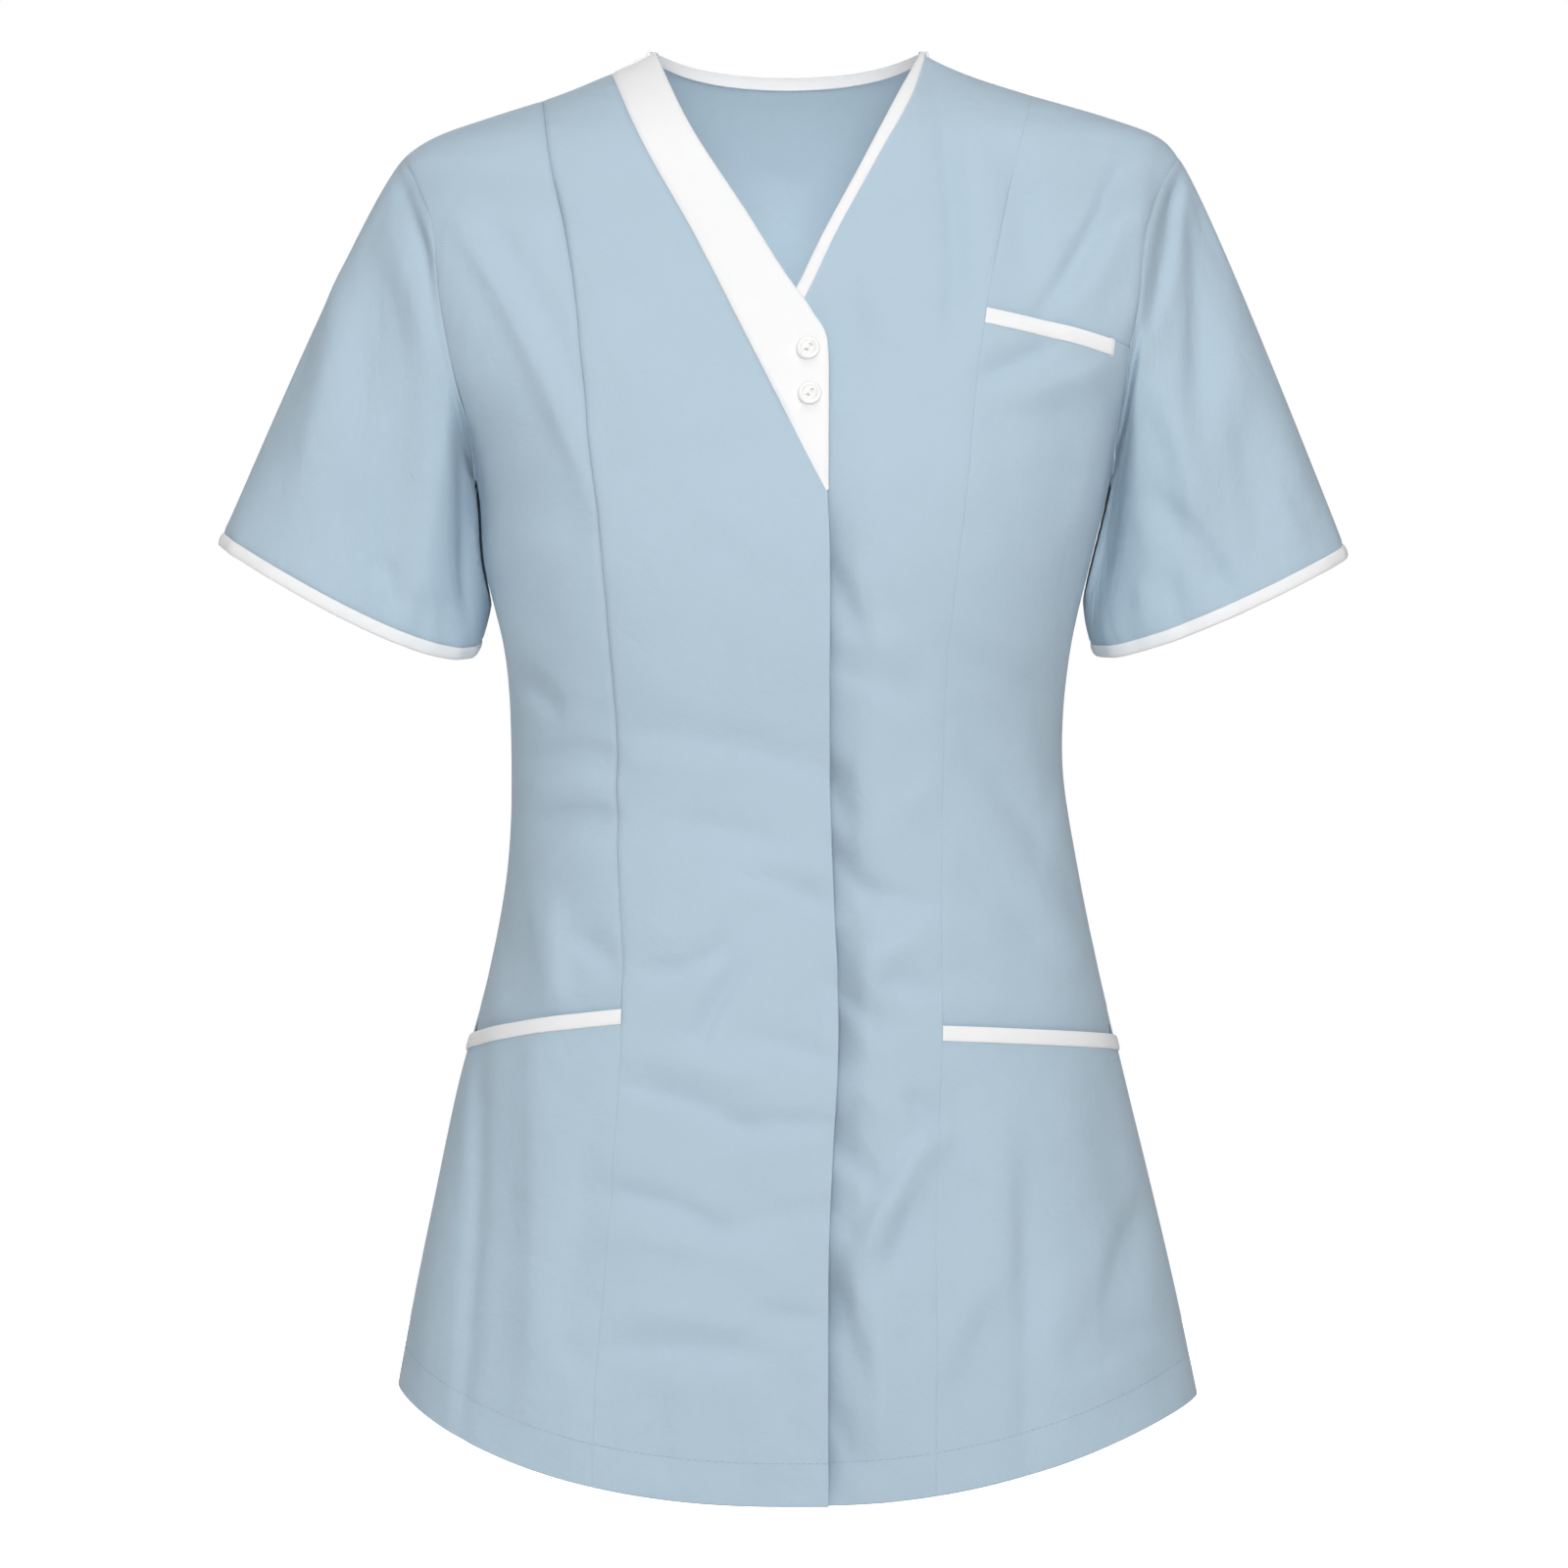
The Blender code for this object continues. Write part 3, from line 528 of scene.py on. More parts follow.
# Folds of the front: two ends, how far the line bows sideways between them, half width and height.
# A height below zero is a trough and one above zero a ridge.
FRONT_FOLDS = table(
    "x0    z0    x1    z1  bow  width  height",
    # right centre, waist and below
    ( -76,  -325,    17,  -346,    4,    9,  -0.9),
    ( -76,  -339,   -39,  -346,    1,    7,   0.5),
    ( -52,  -367,    -6,  -379,    2,    8,  -0.8),
    ( -20,  -394,    19,  -408,    2,    7,  -1.2),
    ( -48,  -408,    17,  -388,   -3,   12,   0.7),
    ( -69,  -438,   -32,  -428,   -4,    7,  -1.2),
    ( -71,  -422,   -27,  -414,   -3,   10,   0.7),
    ( -42,  -471,   -22,  -436,    1,    6,  -1.3),
    ( -52,  -466,   -32,  -434,    0,    9,   0.9),
    ( -18,  -471,    21,  -482,    2,    7,  -1.1),
    ( -76,  -492,   -18,  -513,    3,    7,  -1.5),
    ( -32,  -512,    21,  -510,    2,    7,  -1.1),
    ( -69,  -477,    -6,  -494,    2,   10,   0.8),
    ( -85,  -542,   -32,  -559,    3,    8,  -1.4),
    ( -76,  -562,    -6,  -576,    2,   12,   0.8),
    ( -39,  -563,    14,  -549,    1,    9,  -0.7),
    ( -87,  -615,   -11,  -619,    3,   10,  -1.3),
    ( -76,  -601,   -20,  -605,    2,    9,   0.6),
    ( -13,  -598,    19,  -604,    1,    8,  -0.9),
    ( -61,  -636,   -57,  -673,    0,    9,  -0.9),
    ( -27,  -640,   -24,  -675,    0,    9,  -0.7),
    (  -2,  -624,     4,  -668,    0,   10,  -0.7),
    ( -85,  -204,    -2,  -195,    3,   14,  -0.7),
    ( -32,  -178,   -16,  -192,    0,    9,  -0.5),
    ( -48,  -240,    12,  -277,    5,   22,  -0.8),
    # left centre beside the overlap
    (  20,  -247,    35,  -284,    0,    8,  -1.2),
    (  22,  -296,    58,  -312,    2,   10,  -1.0),
    (  21,  -285,    56,  -283,    2,   10,   0.6),
    (  21,  -346,    29,  -371,    0,    8,  -1.1),
    (  21,  -383,    44,  -410,    1,    8,  -1.2),
    (  29,  -399,    73,  -410,    1,    7,  -0.8),
    (  31,  -374,    67,  -351,   -3,   12,   0.5),
    (  29,  -436,    72,  -413,   -2,   10,   0.8),
    (  22,  -443,    46,  -471,    1,    9,  -1.6),
    (  46,  -443,    71,  -451,    1,    8,  -1.2),
    (  25,  -489,    58,  -512,    0,   10,   0.7),
    (  22,  -519,    46,  -542,    0,    9,  -1.3),
    (  67,  -516,    35,  -569,   -2,    8,   2.2),
    (  56,  -498,    71,  -512,    0,    7,  -1.4),
    (  60,  -548,    46,  -581,    0,    9,  -1.4),
    (  21,  -576,    36,  -631,    0,    9,  -1.3),
    (  21,  -645,    35,  -673,    0,    8,  -0.9),
    (  40,  -594,    46,  -664,    0,   10,   0.9),
    # left centre, neck to bust
    (  73,   -26,    78,  -137,    3,    9,  -1.5),
    (  83,   -38,    90,  -134,    2,   12,   1.0),
    (  28,  -121,    46,  -153,    0,   12,  -1.0),
    (  35,  -164,    67,  -176,    2,   12,  -0.7),
    # left side
    ( 157,   -59,   122,  -124,    3,    8,  -1.6),
    ( 164,   -68,   137,  -121,    2,   10,   1.3),
    ( 109,   -49,   117,  -109,    0,    9,  -1.2),
    ( 173,   -49,   160,  -140,    3,    7,   1.4),
    (  92,  -158,   126,  -143,   -1,    6,  -1.7),
    ( 105,  -166,   151,  -152,   -2,    9,   1.2),
    (  96,  -184,   137,  -170,   -1,   12,  -0.6),
    ( 147,  -174,   130,  -239,    3,   10,   1.0),
    (  78,  -287,   126,  -307,   -3,   10,  -1.2),
    (  84,  -276,   123,  -289,   -1,   12,   0.7),
    (  91,  -339,   123,  -388,    3,    9,  -1.2),
    ( 105,  -332,   132,  -374,    2,   10,   0.8),
    (  84,  -388,   119,  -427,    3,   10,  -0.9),
    (  79,  -437,   119,  -460,    2,   12,  -0.8),
    ( 119,  -397,   140,  -437,    2,   10,   0.8),
    # left hip pocket
    ( 111,  -548,   112,  -673,    1,    7,  -1.3),
    ( 100,  -513,   101,  -583,    0,   14,   1.4),
    (  79,  -490,    84,  -555,    0,    9,  -0.9),
    (  93,  -587,    72,  -629,   -2,   10,   1.1),
    ( 147,  -495,   167,  -583,    2,   12,  -1.0),
    ( 177,  -543,   151,  -599,   -2,   11,  -1.5),
    ( 133,  -578,   119,  -629,    0,   14,   1.1),
    ( 156,  -606,   186,  -624,    0,   12,  -1.0),
    ( 126,  -638,   184,  -615,   -2,   12,   0.7),
    # right side
    (-153,   -90,   -95,  -211,    5,   10,   1.6),
    (-141,   -84,  -102,  -165,    4,   10,  -1.0),
    (-141,  -214,   -95,  -230,    2,   18,  -1.0),
    (-139,  -263,  -127,  -288,    0,   12,   0.9),
    (-129,  -299,  -110,  -317,    0,    7,  -1.3),
    (-125,  -338,   -83,  -336,    2,    8,  -1.4),
    (-123,  -351,   -84,  -351,    2,    8,   0.9),
    (-120,  -368,   -83,  -366,    2,    8,  -1.7),
    (-123,  -392,   -85,  -379,    2,   12,   0.8),
    (-100,  -423,   -81,  -438,    0,    8,  -1.5),
    (-113,  -409,  -108,  -455,    0,    9,   1.4),
    (-134,  -416,  -130,  -457,    0,   11,  -0.9),
    # right hip pocket
    (-148,  -478,  -155,  -648,    2,    6,  -1.5),
    (-136,  -481,  -141,  -648,    2,   12,  -0.8),
    (-117,  -478,  -119,  -638,    0,   13,   1.3),
    ( -95,  -527,  -106,  -606,    2,    9,  -0.7),
    (-164,  -536,  -174,  -629,    1,   11,   0.8),
    (-106,  -611,   -95,  -624,    0,    7,  -0.7),
    ( -99,  -629,  -102,  -671,    0,    9,   0.6),
)
RIGHT_SLEEVE_FOLDS = table(
    "x0    z0    x1    z1  bow  width  height",
    (-186,   -59,  -156,  -162,    4,    5,  -1.6),
    (-177,   -85,  -160,  -131,    1,    5,  -1.8),
    (-189,   -89,  -170,  -173,    3,    8,   1.4),
    (-214,   -99,  -233,  -211,    3,   12,   1.6),
    (-202,  -131,  -211,  -243,    3,   12,  -1.2),
    (-235,  -131,  -253,  -201,    2,   12,  -1.0),
    (-188,  -173,  -200,  -264,    3,   12,  -1.9),
    (-170,  -178,  -177,  -276,    2,   13,   1.8),
    (-155,  -176,  -152,  -268,    0,    8,  -3.2),
    (-189,  -246,  -185,  -269,    0,    5,  -1.4),
    (-177,  -262,  -174,  -282,    0,    5,  -1.2),
    (-196,  -253,  -198,  -266,    0,    6,   1.0),
    (-165,  -262,  -163,  -283,    0,    6,  -0.9),
)
LEFT_SLEEVE_FOLDS = table(
    "x0    z0    x1    z1  bow  width  height",
    ( 187,   -54,   172,  -131,    3,    6,  -2.4),
    ( 198,   -80,   197,  -168,    2,   13,  -3.2),
    ( 165,  -150,   146,  -266,    1,    8,  -1.8),
    ( 201,   -99,   208,  -183,    2,   13,   1.4),
    ( 178,  -164,   192,  -229,    3,   10,   1.8),
    ( 176,  -215,   214,  -262,    3,    8,  -1.7),
    ( 215,  -173,   227,  -253,    2,   12,  -1.3),
    ( 234,  -183,   248,  -239,    2,   14,   1.2),
    ( 200,  -246,   214,  -263,    0,    5,  -1.3),
    ( 183,  -253,   187,  -276,    0,    6,  -1.2),
    ( 169,  -257,   171,  -281,    0,    6,   1.0),
    ( 241,  -211,   255,  -239,    0,    7,  -1.0),
)

# Folds of the back, seen through from the front
BACK_FOLDS = table(
    "x0    z0    x1    z1  bow  width  height",
    # waist
    (-118, -292,  -42,  -330,    6,   10,  -1.5),
    (-124, -326,  -52,  -348,    5,    8,  -1.3),
    (-112, -312,  -60,  -338,    3,   10,   0.9),
    ( 120, -298,   50,  -334,   -7,   10,  -1.5),
    ( 126, -341,   58,  -355,   -4,    8,  -1.2),
    ( 112, -322,   64,  -344,   -3,   10,   0.9),
    ( -36, -316,   28,  -325,    4,   11,  -1.2),
    ( -24, -350,   46,  -342,   -5,    9,  -1.0),
    ( -52, -374,   14,  -382,    4,   11,  -0.9),
    (  30, -388,   98,  -372,   -6,   10,  -1.0),
    # skirt
    ( -98, -468, -114,  -664,    5,   16,   1.9),
    ( -64, -480,  -74,  -674,   -4,   13,  -1.6),
    ( -20, -498,  -26,  -682,    3,   18,   1.5),
    (  26, -486,   34,  -680,    4,   14,  -1.6),
    (  66, -468,   80,  -672,   -4,   16,   1.9),
    ( 106, -456,  130,  -652,    5,   13,  -1.7),
    (-136, -498, -156,  -644,    4,   13,  -1.5),
    ( 146, -506,  166,  -640,   -3,   14,   1.3),
    # shoulder blades and armholes
    (-158, -112,  -96,  -178,    7,   12,  -1.4),
    (-142, -152,  -88,  -216,    5,   12,   1.1),
    ( 160, -118,   98,  -186,   -8,   12,  -1.4),
    ( 146, -158,   86,  -222,   -5,   12,   1.1),
    ( -98,  -38,  -76,  -112,    4,   14,  -0.8),
    (  96,  -42,   78,  -120,   -4,   14,  -0.8),
    ( -30,  -44,   26,   -50,    5,   14,  -0.7),
    ( -52, -222,   60,  -230,    8,   22,  -0.8),
)

# Dents of the wearer's left front beside the overlap. The depths are multiplied by DENT_SCALE.
OVERLAP_DENTS = table(
    "height  half  depth",
    (-232,   14,   0.9),
    (-254,   17,   1.5),
    (-287,   14,   1.3),
    (-318,   13,   1.0),
    (-350,   15,   2.0),
    (-388,   19,   2.3),
    (-432,   12,   1.8),
    (-466,   19,   3.2),
    (-513,   14,   1.9),
    (-543,   12,   1.5),
    (-590,   19,   3.0),
    (-632,   22,   1.8),
    (-668,   16,   1.5),
)
DENT_SCALE = 3.0
DENT_REACH = 16.0
DENT_ROUND = 1.5
DENT_BEHIND = 1.5
DENT_LEAST = 0.7
DENT_START = (128.0, 160.0)

# Lip of the wearer's right front, which stands off the left one in waves, from the band's foot down
LIP_HEIGHT = 0.9
LIP_REACH = 7.0
LIP_WAVE = 0.6
LIP_SPACING = 31
LIP_SEED = 3
LIP_START = (213.0, 243.0)


def smooth(columns, name, at):
    """A cubic through one column of a table against its height."""
    heights = columns["height"][::-1]
    values = columns[name][::-1]
    slopes = np.gradient(values, heights)
    at = np.clip(at, heights[0], heights[-1])
    cell = np.clip(np.searchsorted(heights, at) - 1, 0, len(heights) - 2)
    width = heights[cell + 1] - heights[cell]
    part = (at - heights[cell]) / width
    rise = values[cell + 1] - values[cell]
    start = slopes[cell] * width - rise
    end = rise - slopes[cell + 1] * width
    return values[cell] + part * rise + part * (1 - part) * ((1 - part) * start + part * end)


def cubic(knots, values, at):
    """A cubic through values given at rising knots."""
    columns = {"height": knots[::-1], "value": values[::-1]}
    return smooth(columns, "value", at)


def ramp(value, start, end):
    """0 at start and 1 at end, with soft ends."""
    part = np.clip((value - start) / (end - start), 0, 1)
    return part * part * (3 - 2 * part)


def bump(distance, reach):
    """1 at no distance, falling softly to nothing well past reach."""
    return np.exp(-((distance / reach) ** 2))


def half_width(x, height):
    """Half width of the form on the side where x lies."""
    return np.where(x < 0, smooth(FORM, "right", height), smooth(FORM, "left", height))


def depth(y, height):
    """Depth of the form in front (y below zero) or behind."""
    return np.where(y > 0, smooth(FORM, "back", height), smooth(FORM, "front", height))


def at_angle(angle, height):
    """The form at an angle round the body: 0 is the centre front, 90 the left side, 180 the back."""
    power = 2 / smooth(FORM, "roundness", height)
    sine = np.sin(angle)
    cosine = np.cos(angle)
    x = half_width(sine, height) * np.sign(sine) * np.abs(sine) ** power
    y = -depth(-cosine, height) * np.sign(cosine) * np.abs(cosine) ** power
    return np.stack(np.broadcast_arrays(x, y, height), axis=-1)


def at_front(x, height, facing=-1):
    """The form seen from the front (or with facing +1 from the back) at x and height."""
    roundness = smooth(FORM, "roundness", height)
    share = np.clip(np.abs(x) / half_width(x, height), 0, 1)
    y = facing * depth(facing, height) * (1 - share ** roundness) ** (1 / roundness)
    return np.stack(np.broadcast_arrays(x, y, height), axis=-1)


def angle_of(x, height):
    """The angle of a front point."""
    roundness = smooth(FORM, "roundness", height)
    share = np.clip(np.abs(x) / half_width(x, height), 0, 1)
    return np.sign(x) * np.arcsin(share ** (roundness / 2))


def form_level(x, y, height):
    """1 on the form, less inside it and more outside."""
    roundness = smooth(FORM, "roundness", height)
    across = np.abs(x) / half_width(x, height)
    through = np.abs(y) / depth(y, height)
    return across ** roundness + through ** roundness


def form_normals(points):
    """Outward unit normals of the form, from the slope of its section formula."""
    slopes = []
    for move in np.eye(3) * SLOPE_STEP:
        ahead = form_level(*np.moveaxis(points + move, -1, 0))
        behind = form_level(*np.moveaxis(points - move, -1, 0))
        slopes.append(ahead - behind)
    slopes = np.stack(slopes, axis=-1)
    return slopes / np.linalg.norm(slopes, axis=-1, keepdims=True)


def inside_outline(x, height):
    """x kept within the form's half width."""
    limit = half_width(x, height)
    return np.clip(x, -limit, limit)


def lengths_along(points, axis=0):
    """How far each point lies along its line of the grid, measured on the points."""
    steps = np.linalg.norm(np.diff(points[..., :3], axis=axis), axis=-1)
    start = np.zeros_like(np.take(steps, [0], axis=axis))
    return np.concatenate([start, np.cumsum(steps, axis=axis)], axis=axis)


def line_at(corners, share):
    """x and height on a smooth line through corners, at shares of its length on the form."""
    corners = np.array(corners, float)
    knots = np.concatenate([[0], np.cumsum(np.linalg.norm(np.diff(corners, axis=0), axis=1))])
    along = np.linspace(0, knots[-1], LINE_STEPS)
    line = np.stack([cubic(knots, corners[:, k], along) for k in (0, 1)], axis=-1)
    run = lengths_along(at_front(line[:, 0], line[:, 1]))
    x, height = (np.interp(share * run[-1], run, line[:, k]) for k in (0, 1))
    return np.stack([inside_outline(x, height), height], axis=-1)


def shoulder_points(sign, heights):
    """Points on the shoulder seam, as x and height."""
    x = sign * half_width(np.full(len(heights), sign), heights)
    return np.stack([x, heights], axis=-1)


def patch(first, last, bottom, top, across, up):
    """A grid of 2D points inside four edges; across and up say how far over each point is."""
    across = across[None, :, None]
    up = up[:, None, None]
    ruled = first[:, None] * (1 - across) + last[:, None] * across
    low = bottom[None] - ruled[:1]
    high = top[None] - ruled[-1:]
    return ruled + (1 - up) * low + up * high


def row_share(heights):
    """How far up each height is, from 0 at the first to 1 at the last."""
    return (heights - heights[0]) / (heights[-1] - heights[0])


def hem_height(angle):
    """Height of the hem at a form angle."""
    side = np.where(np.sin(angle) < 0, 0, 1)
    front = np.cos(angle) > 0
    drop = np.where(front, HEM["front_drop"][side], HEM["back_drop"][side])
    power = np.where(front, HEM["front_power"][side], HEM["back_power"][side])
    return HEM["side"][side] - drop * np.abs(np.cos(angle)) ** power


def front_hem(x):
    """Height of the front hem at x."""
    height = np.full(np.shape(x), HEM_MIDDLE)
    for _ in range(HEM_ROUNDS):
        height = hem_height(angle_of(x, height))
    return height


def row_heights(name, rows, lowest):
    """A column of the rows table at any row, with its first value replaced by the hem's height."""
    heights = ROWS[name].copy()
    heights[0] = lowest
    return np.interp(rows, np.arange(ROW_COUNT), heights)


def princess_line(sign, rows):
    """x and height of the princess seam at each row."""
    seam = PRINCESS_RIGHT if sign < 0 else PRINCESS_LEFT
    name = "right_princess" if sign < 0 else "left_princess"
    heights = row_heights(name, rows, front_hem(smooth(seam, "x", HEM_MIDDLE)))
    return np.stack([inside_outline(smooth(seam, "x", heights), heights), heights], axis=-1)


def armhole_angles(front, turn):
    """Form angle, without its sign, and height at turns round the armhole from its top."""
    height = ARMHOLE_MIDDLE + ARMHOLE_HALF_HEIGHT * np.cos(turn)
    y = np.sin(turn) * (-ARMHOLE_FRONT if front else ARMHOLE_BACK)
    roundness = smooth(FORM, "roundness", height)
    quarter = np.arccos(np.clip((np.abs(y) / depth(y, height)) ** (roundness / 2), 0, 1))
    return np.stack([quarter if front else math.pi - quarter, height], axis=-1)


def side_line(front, sign, rows):
    """Form angle, without its sign, and height of the side seam and the armhole at each row."""
    turn = np.radians(np.interp(rows, np.arange(ROW_COUNT), ROWS["armhole"]))
    heights = row_heights("side", rows, hem_height(sign * math.pi / 2))
    side = np.stack([np.full(len(rows), math.pi / 2), heights], axis=-1)
    return np.where(rows[:, None] < UNDERARM_ROW, side, armhole_angles(front, turn))


def dense_rows(first, last):
    """Row numbers from first to last, close together, and closer still at the shoulder."""
    top = min(last, ROW_COUNT - 2)
    rows = np.linspace(first, top, DENSE_ROWS * (top - first) + 1)
    if last > top:
        rows = np.concatenate([rows, last - np.linspace(1, 0, DENSE_SHOULDER_ROWS)[1:] ** 2])
    return rows


def edge_marks(length, cell):
    """Shares of a length, a cell apart and closer together at both ends."""
    ends = np.array(EDGE_STEPS)
    zone = min(EDGE_ZONE, length / 4)
    ends = ends * zone / EDGE_ZONE
    count = max(2, round((length - 2 * zone) / cell) + 1)
    return np.concatenate([ends, np.linspace(zone, length - zone, count), length - ends[::-1]]) / length


def evened(grid, cell, length=None):
    """The same surface with the points of every column spread evenly along it."""
    run = lengths_along(grid)
    marks = edge_marks(length or run[-1].mean(), cell)
    columns = []
    for column, at in zip(np.moveaxis(grid, 1, 0), run.T):
        columns.append([np.interp(marks * at[-1], at, column[:, k]) for k in range(grid.shape[2])])
    return np.moveaxis(np.array(columns), -1, 0)


def with_rows(points, rows):
    """Points with their row number as a fourth value."""
    return np.concatenate([points, np.broadcast_to(rows[:, None, None], points.shape[:2] + (1,))], axis=-1)


def front_centre_grid(sign, inner_edge):
    """Front panel beside the opening: its inner side is the front edge and the neckline above it."""
    corners, foot = (BAND_SEAM, RIGHT_V_ROW) if sign < 0 else (BINDING_SEAM, LEFT_V_ROW)
    rows = dense_rows(0, ROW_COUNT - 1)
    across = edge_marks(CENTRE_WIDTH, CELL)
    princess = princess_line(sign, rows)
    neck = line_at(corners[::-1], np.clip((rows - foot) / (ROW_COUNT - 1 - foot), 0, 1))
    low = inner_edge(HEM_MIDDLE)
    hem_x = low + across * (princess[0, 0] - low)
    bottom = np.stack([hem_x, front_hem(sign * np.maximum(sign * hem_x, 1))], axis=-1)
    foot_height = np.interp(foot, rows, princess[:, 1])
    rise = (princess[:, 1] - princess[0, 1]) / (foot_height - princess[0, 1])
    heights = bottom[0, 1] + rise * (corners[-1][1] - bottom[0, 1])
    edge = np.stack([inner_edge(heights), heights], axis=-1)
    first = np.where(rows[:, None] < foot, edge, neck)
    top_heights = neck[-1, 1] + across * (princess[-1, 1] - neck[-1, 1])
    top = shoulder_points(sign, top_heights)
    grid = patch(first, princess, bottom, top, across, row_share(princess[:, 1]))
    return evened(with_rows(at_front(grid[..., 0], grid[..., 1]), rows), CELL)


def front_side_grid(sign, first_row, last_row, cell=CELL, last_share=1.0):
    """Front panel from the princess seam to the side seam and armhole, between two rows."""
    rows = dense_rows(first_row, last_row)
    across = edge_marks(SIDE_WIDTH, cell) * last_share
    princess = princess_line(sign, rows)
    first = np.stack([np.abs(angle_of(princess[:, 0], princess[:, 1])), princess[:, 1]], axis=-1)
    last = side_line(True, sign, rows)
    # the hem's curve, which fades out up to the rows of the hip pocket's mouth
    low_first = princess_line(sign, np.zeros(1))[0]
    angles = np.abs(angle_of(*low_first))
    angles = angles + across * (math.pi / 2 - angles)
    bottom = np.stack([angles, hem_height(sign * angles)], axis=-1)
    low_last = side_line(True, sign, np.zeros(1))[0]
    hem_start = np.array([angles[0], low_first[1]])
    straight = hem_start * (1 - across[:, None]) + low_last * across[:, None]
    fade = np.clip(rows / (POCKET_TRIM_ROW - 1), 0, 1)[:, None, None]
    grid = first[:, None] * (1 - across[None, :, None]) + last[:, None] * across[None, :, None]
    grid = grid + (1 - fade) * (bottom - straight)[None]
    return bridged(evened(with_rows(at_angle(sign * grid[..., 0], grid[..., 1]), rows), cell))


def back_neck_height(angle):
    """Height of the back neck seam at a form angle."""
    return BACK_NECK_SIDE - BACK_NECK_DROP * np.abs(np.cos(angle)) ** BACK_NECK_POWER


def back_below_underarm(sign, across):
    """Half of the back, from the hem to the level of the underarm."""
    rows = dense_rows(0, UNDERARM_ROW)
    last = side_line(False, sign, rows)
    angles = math.pi - across * math.pi / 2
    bottom = np.stack([angles, hem_height(sign * angles)], axis=-1)
    rise = row_share(last[:, 1])
    centre = bottom[0, 1] + rise * (BACK_UNDERARM_CENTRE - bottom[0, 1])
    first = np.stack([np.full(len(rows), math.pi), centre], axis=-1)
    level = first[-1] * (1 - across[:, None]) + last[-1] * across[:, None]
    grid = patch(first, last, bottom, level, across, rise)
    return with_rows(at_angle(sign * grid[..., 0], grid[..., 1]), rows)


def back_above_underarm(sign, across, level):
    """Half of the back, from the level of the underarm to the back neck and the shoulder."""
    rows = dense_rows(UNDERARM_ROW, ROW_COUNT - 1)
    armhole = side_line(False, sign, rows)
    armhole = at_angle(sign * armhole[:, 0], armhole[:, 1])[:, (0, 2)]
    neck_angles = math.pi - np.clip(across / BACK_NECK_SHARE, 0, 1) * math.pi / 2
    neck = at_angle(sign * neck_angles, back_neck_height(neck_angles))[:, (0, 2)]
    outward = np.clip((across - BACK_NECK_SHARE) / (1 - BACK_NECK_SHARE), 0, 1)
    heights = BACK_NECK_SIDE + outward * (armhole[-1, 1] - BACK_NECK_SIDE)
    top = np.where(across[:, None] < BACK_NECK_SHARE, neck, shoulder_points(sign, heights))
    share = row_share(armhole[:, 1])
    centre = BACK_UNDERARM_CENTRE + share * (neck[0, 1] - BACK_UNDERARM_CENTRE)
    centre_line = np.stack([np.zeros(len(share)), centre], axis=-1)
    grid = patch(centre_line, armhole, level, top, across, share)
    return with_rows(at_front(grid[..., 0], grid[..., 1], facing=1), rows)


def back_half_grid(sign):
    """Half of the back, from the centre line out to the side seam and armhole."""
    across = edge_marks(BACK_WIDTH, BACK_CELL)[len(EDGE_STEPS) :]
    across = (across - across[0]) / (1 - across[0])
    low = back_below_underarm(sign, across)
    high = back_above_underarm(sign, across, low[-1][:, (0, 2)])
    return bridged(evened(np.concatenate([low, high[1:]]), BACK_CELL, BACK_LENGTH))


def outward_forward_up(sign, vector):
    """A direction given as outward, forward and up, for one side of the top."""
    out, forward, up = vector
    return np.array([sign * out, -forward, up])


def armhole_ring(sign, turn):
    """The points of the armhole that a sleeve starts from, at turns round its cuff."""
    from_top = np.minimum(turn, 2 * math.pi - turn)
    armhole_turn = cubic(np.radians(SLEEVE_TURNS["cuff"]), np.radians(SLEEVE_TURNS["armhole"]), from_top)
    in_front = turn[:, None] <= math.pi
    ring = np.where(in_front, armhole_angles(True, armhole_turn), armhole_angles(False, armhole_turn))
    return at_angle(sign * ring[:, 0], ring[:, 1])


def cuff_ring(row, cosine, sine):
    """The ring of a cuff, and the direction in which it points."""
    sign = SLEEVES["sign"][row]
    outer = np.array([sign * SLEEVES["outer_x"][row], 0, SLEEVES["outer_height"][row]])
    inner = np.array([sign * SLEEVES["inner_x"][row], 0, SLEEVES["inner_height"][row]])
    reach = (outer - inner) / 2
    along = np.array([sign * reach[2], 0, -abs(reach[0])])
    along /= np.linalg.norm(along)
    deep = np.where(sine > 0, CUFF_FRONT, CUFF_BACK)
    ring = (outer + inner) / 2 + reach * cosine
    ring[:, 1:2] += CUFF_CENTRE_Y - deep * sine
    ring += along * SLEEVES["front_drop"][row] * sine * (1 - SLEEVES["skew"][row] * cosine)
    return ring, along


def sleeve_leaves(row, cosine, sine, under):
    """How a sleeve leaves its armhole at the top, under the arm and in between."""
    sign = SLEEVES["sign"][row]
    top = ((1 + cosine) / 2) ** 2
    middle = 1 - top - under
    leave = top * outward_forward_up(sign, (SLEEVES["top_out"][row], 0, -SLEEVE_TOP_DOWN))
    leave = leave + under * outward_forward_up(sign, SLEEVE_UNDER_LEAVES)
    leave = leave + middle * outward_forward_up(sign, SLEEVE_MIDDLE_LEAVES) * [1, 0, 1]
    leave[:, 1:2] -= middle * sine * SLEEVE_MIDDLE_LEAVES[1]
    return leave


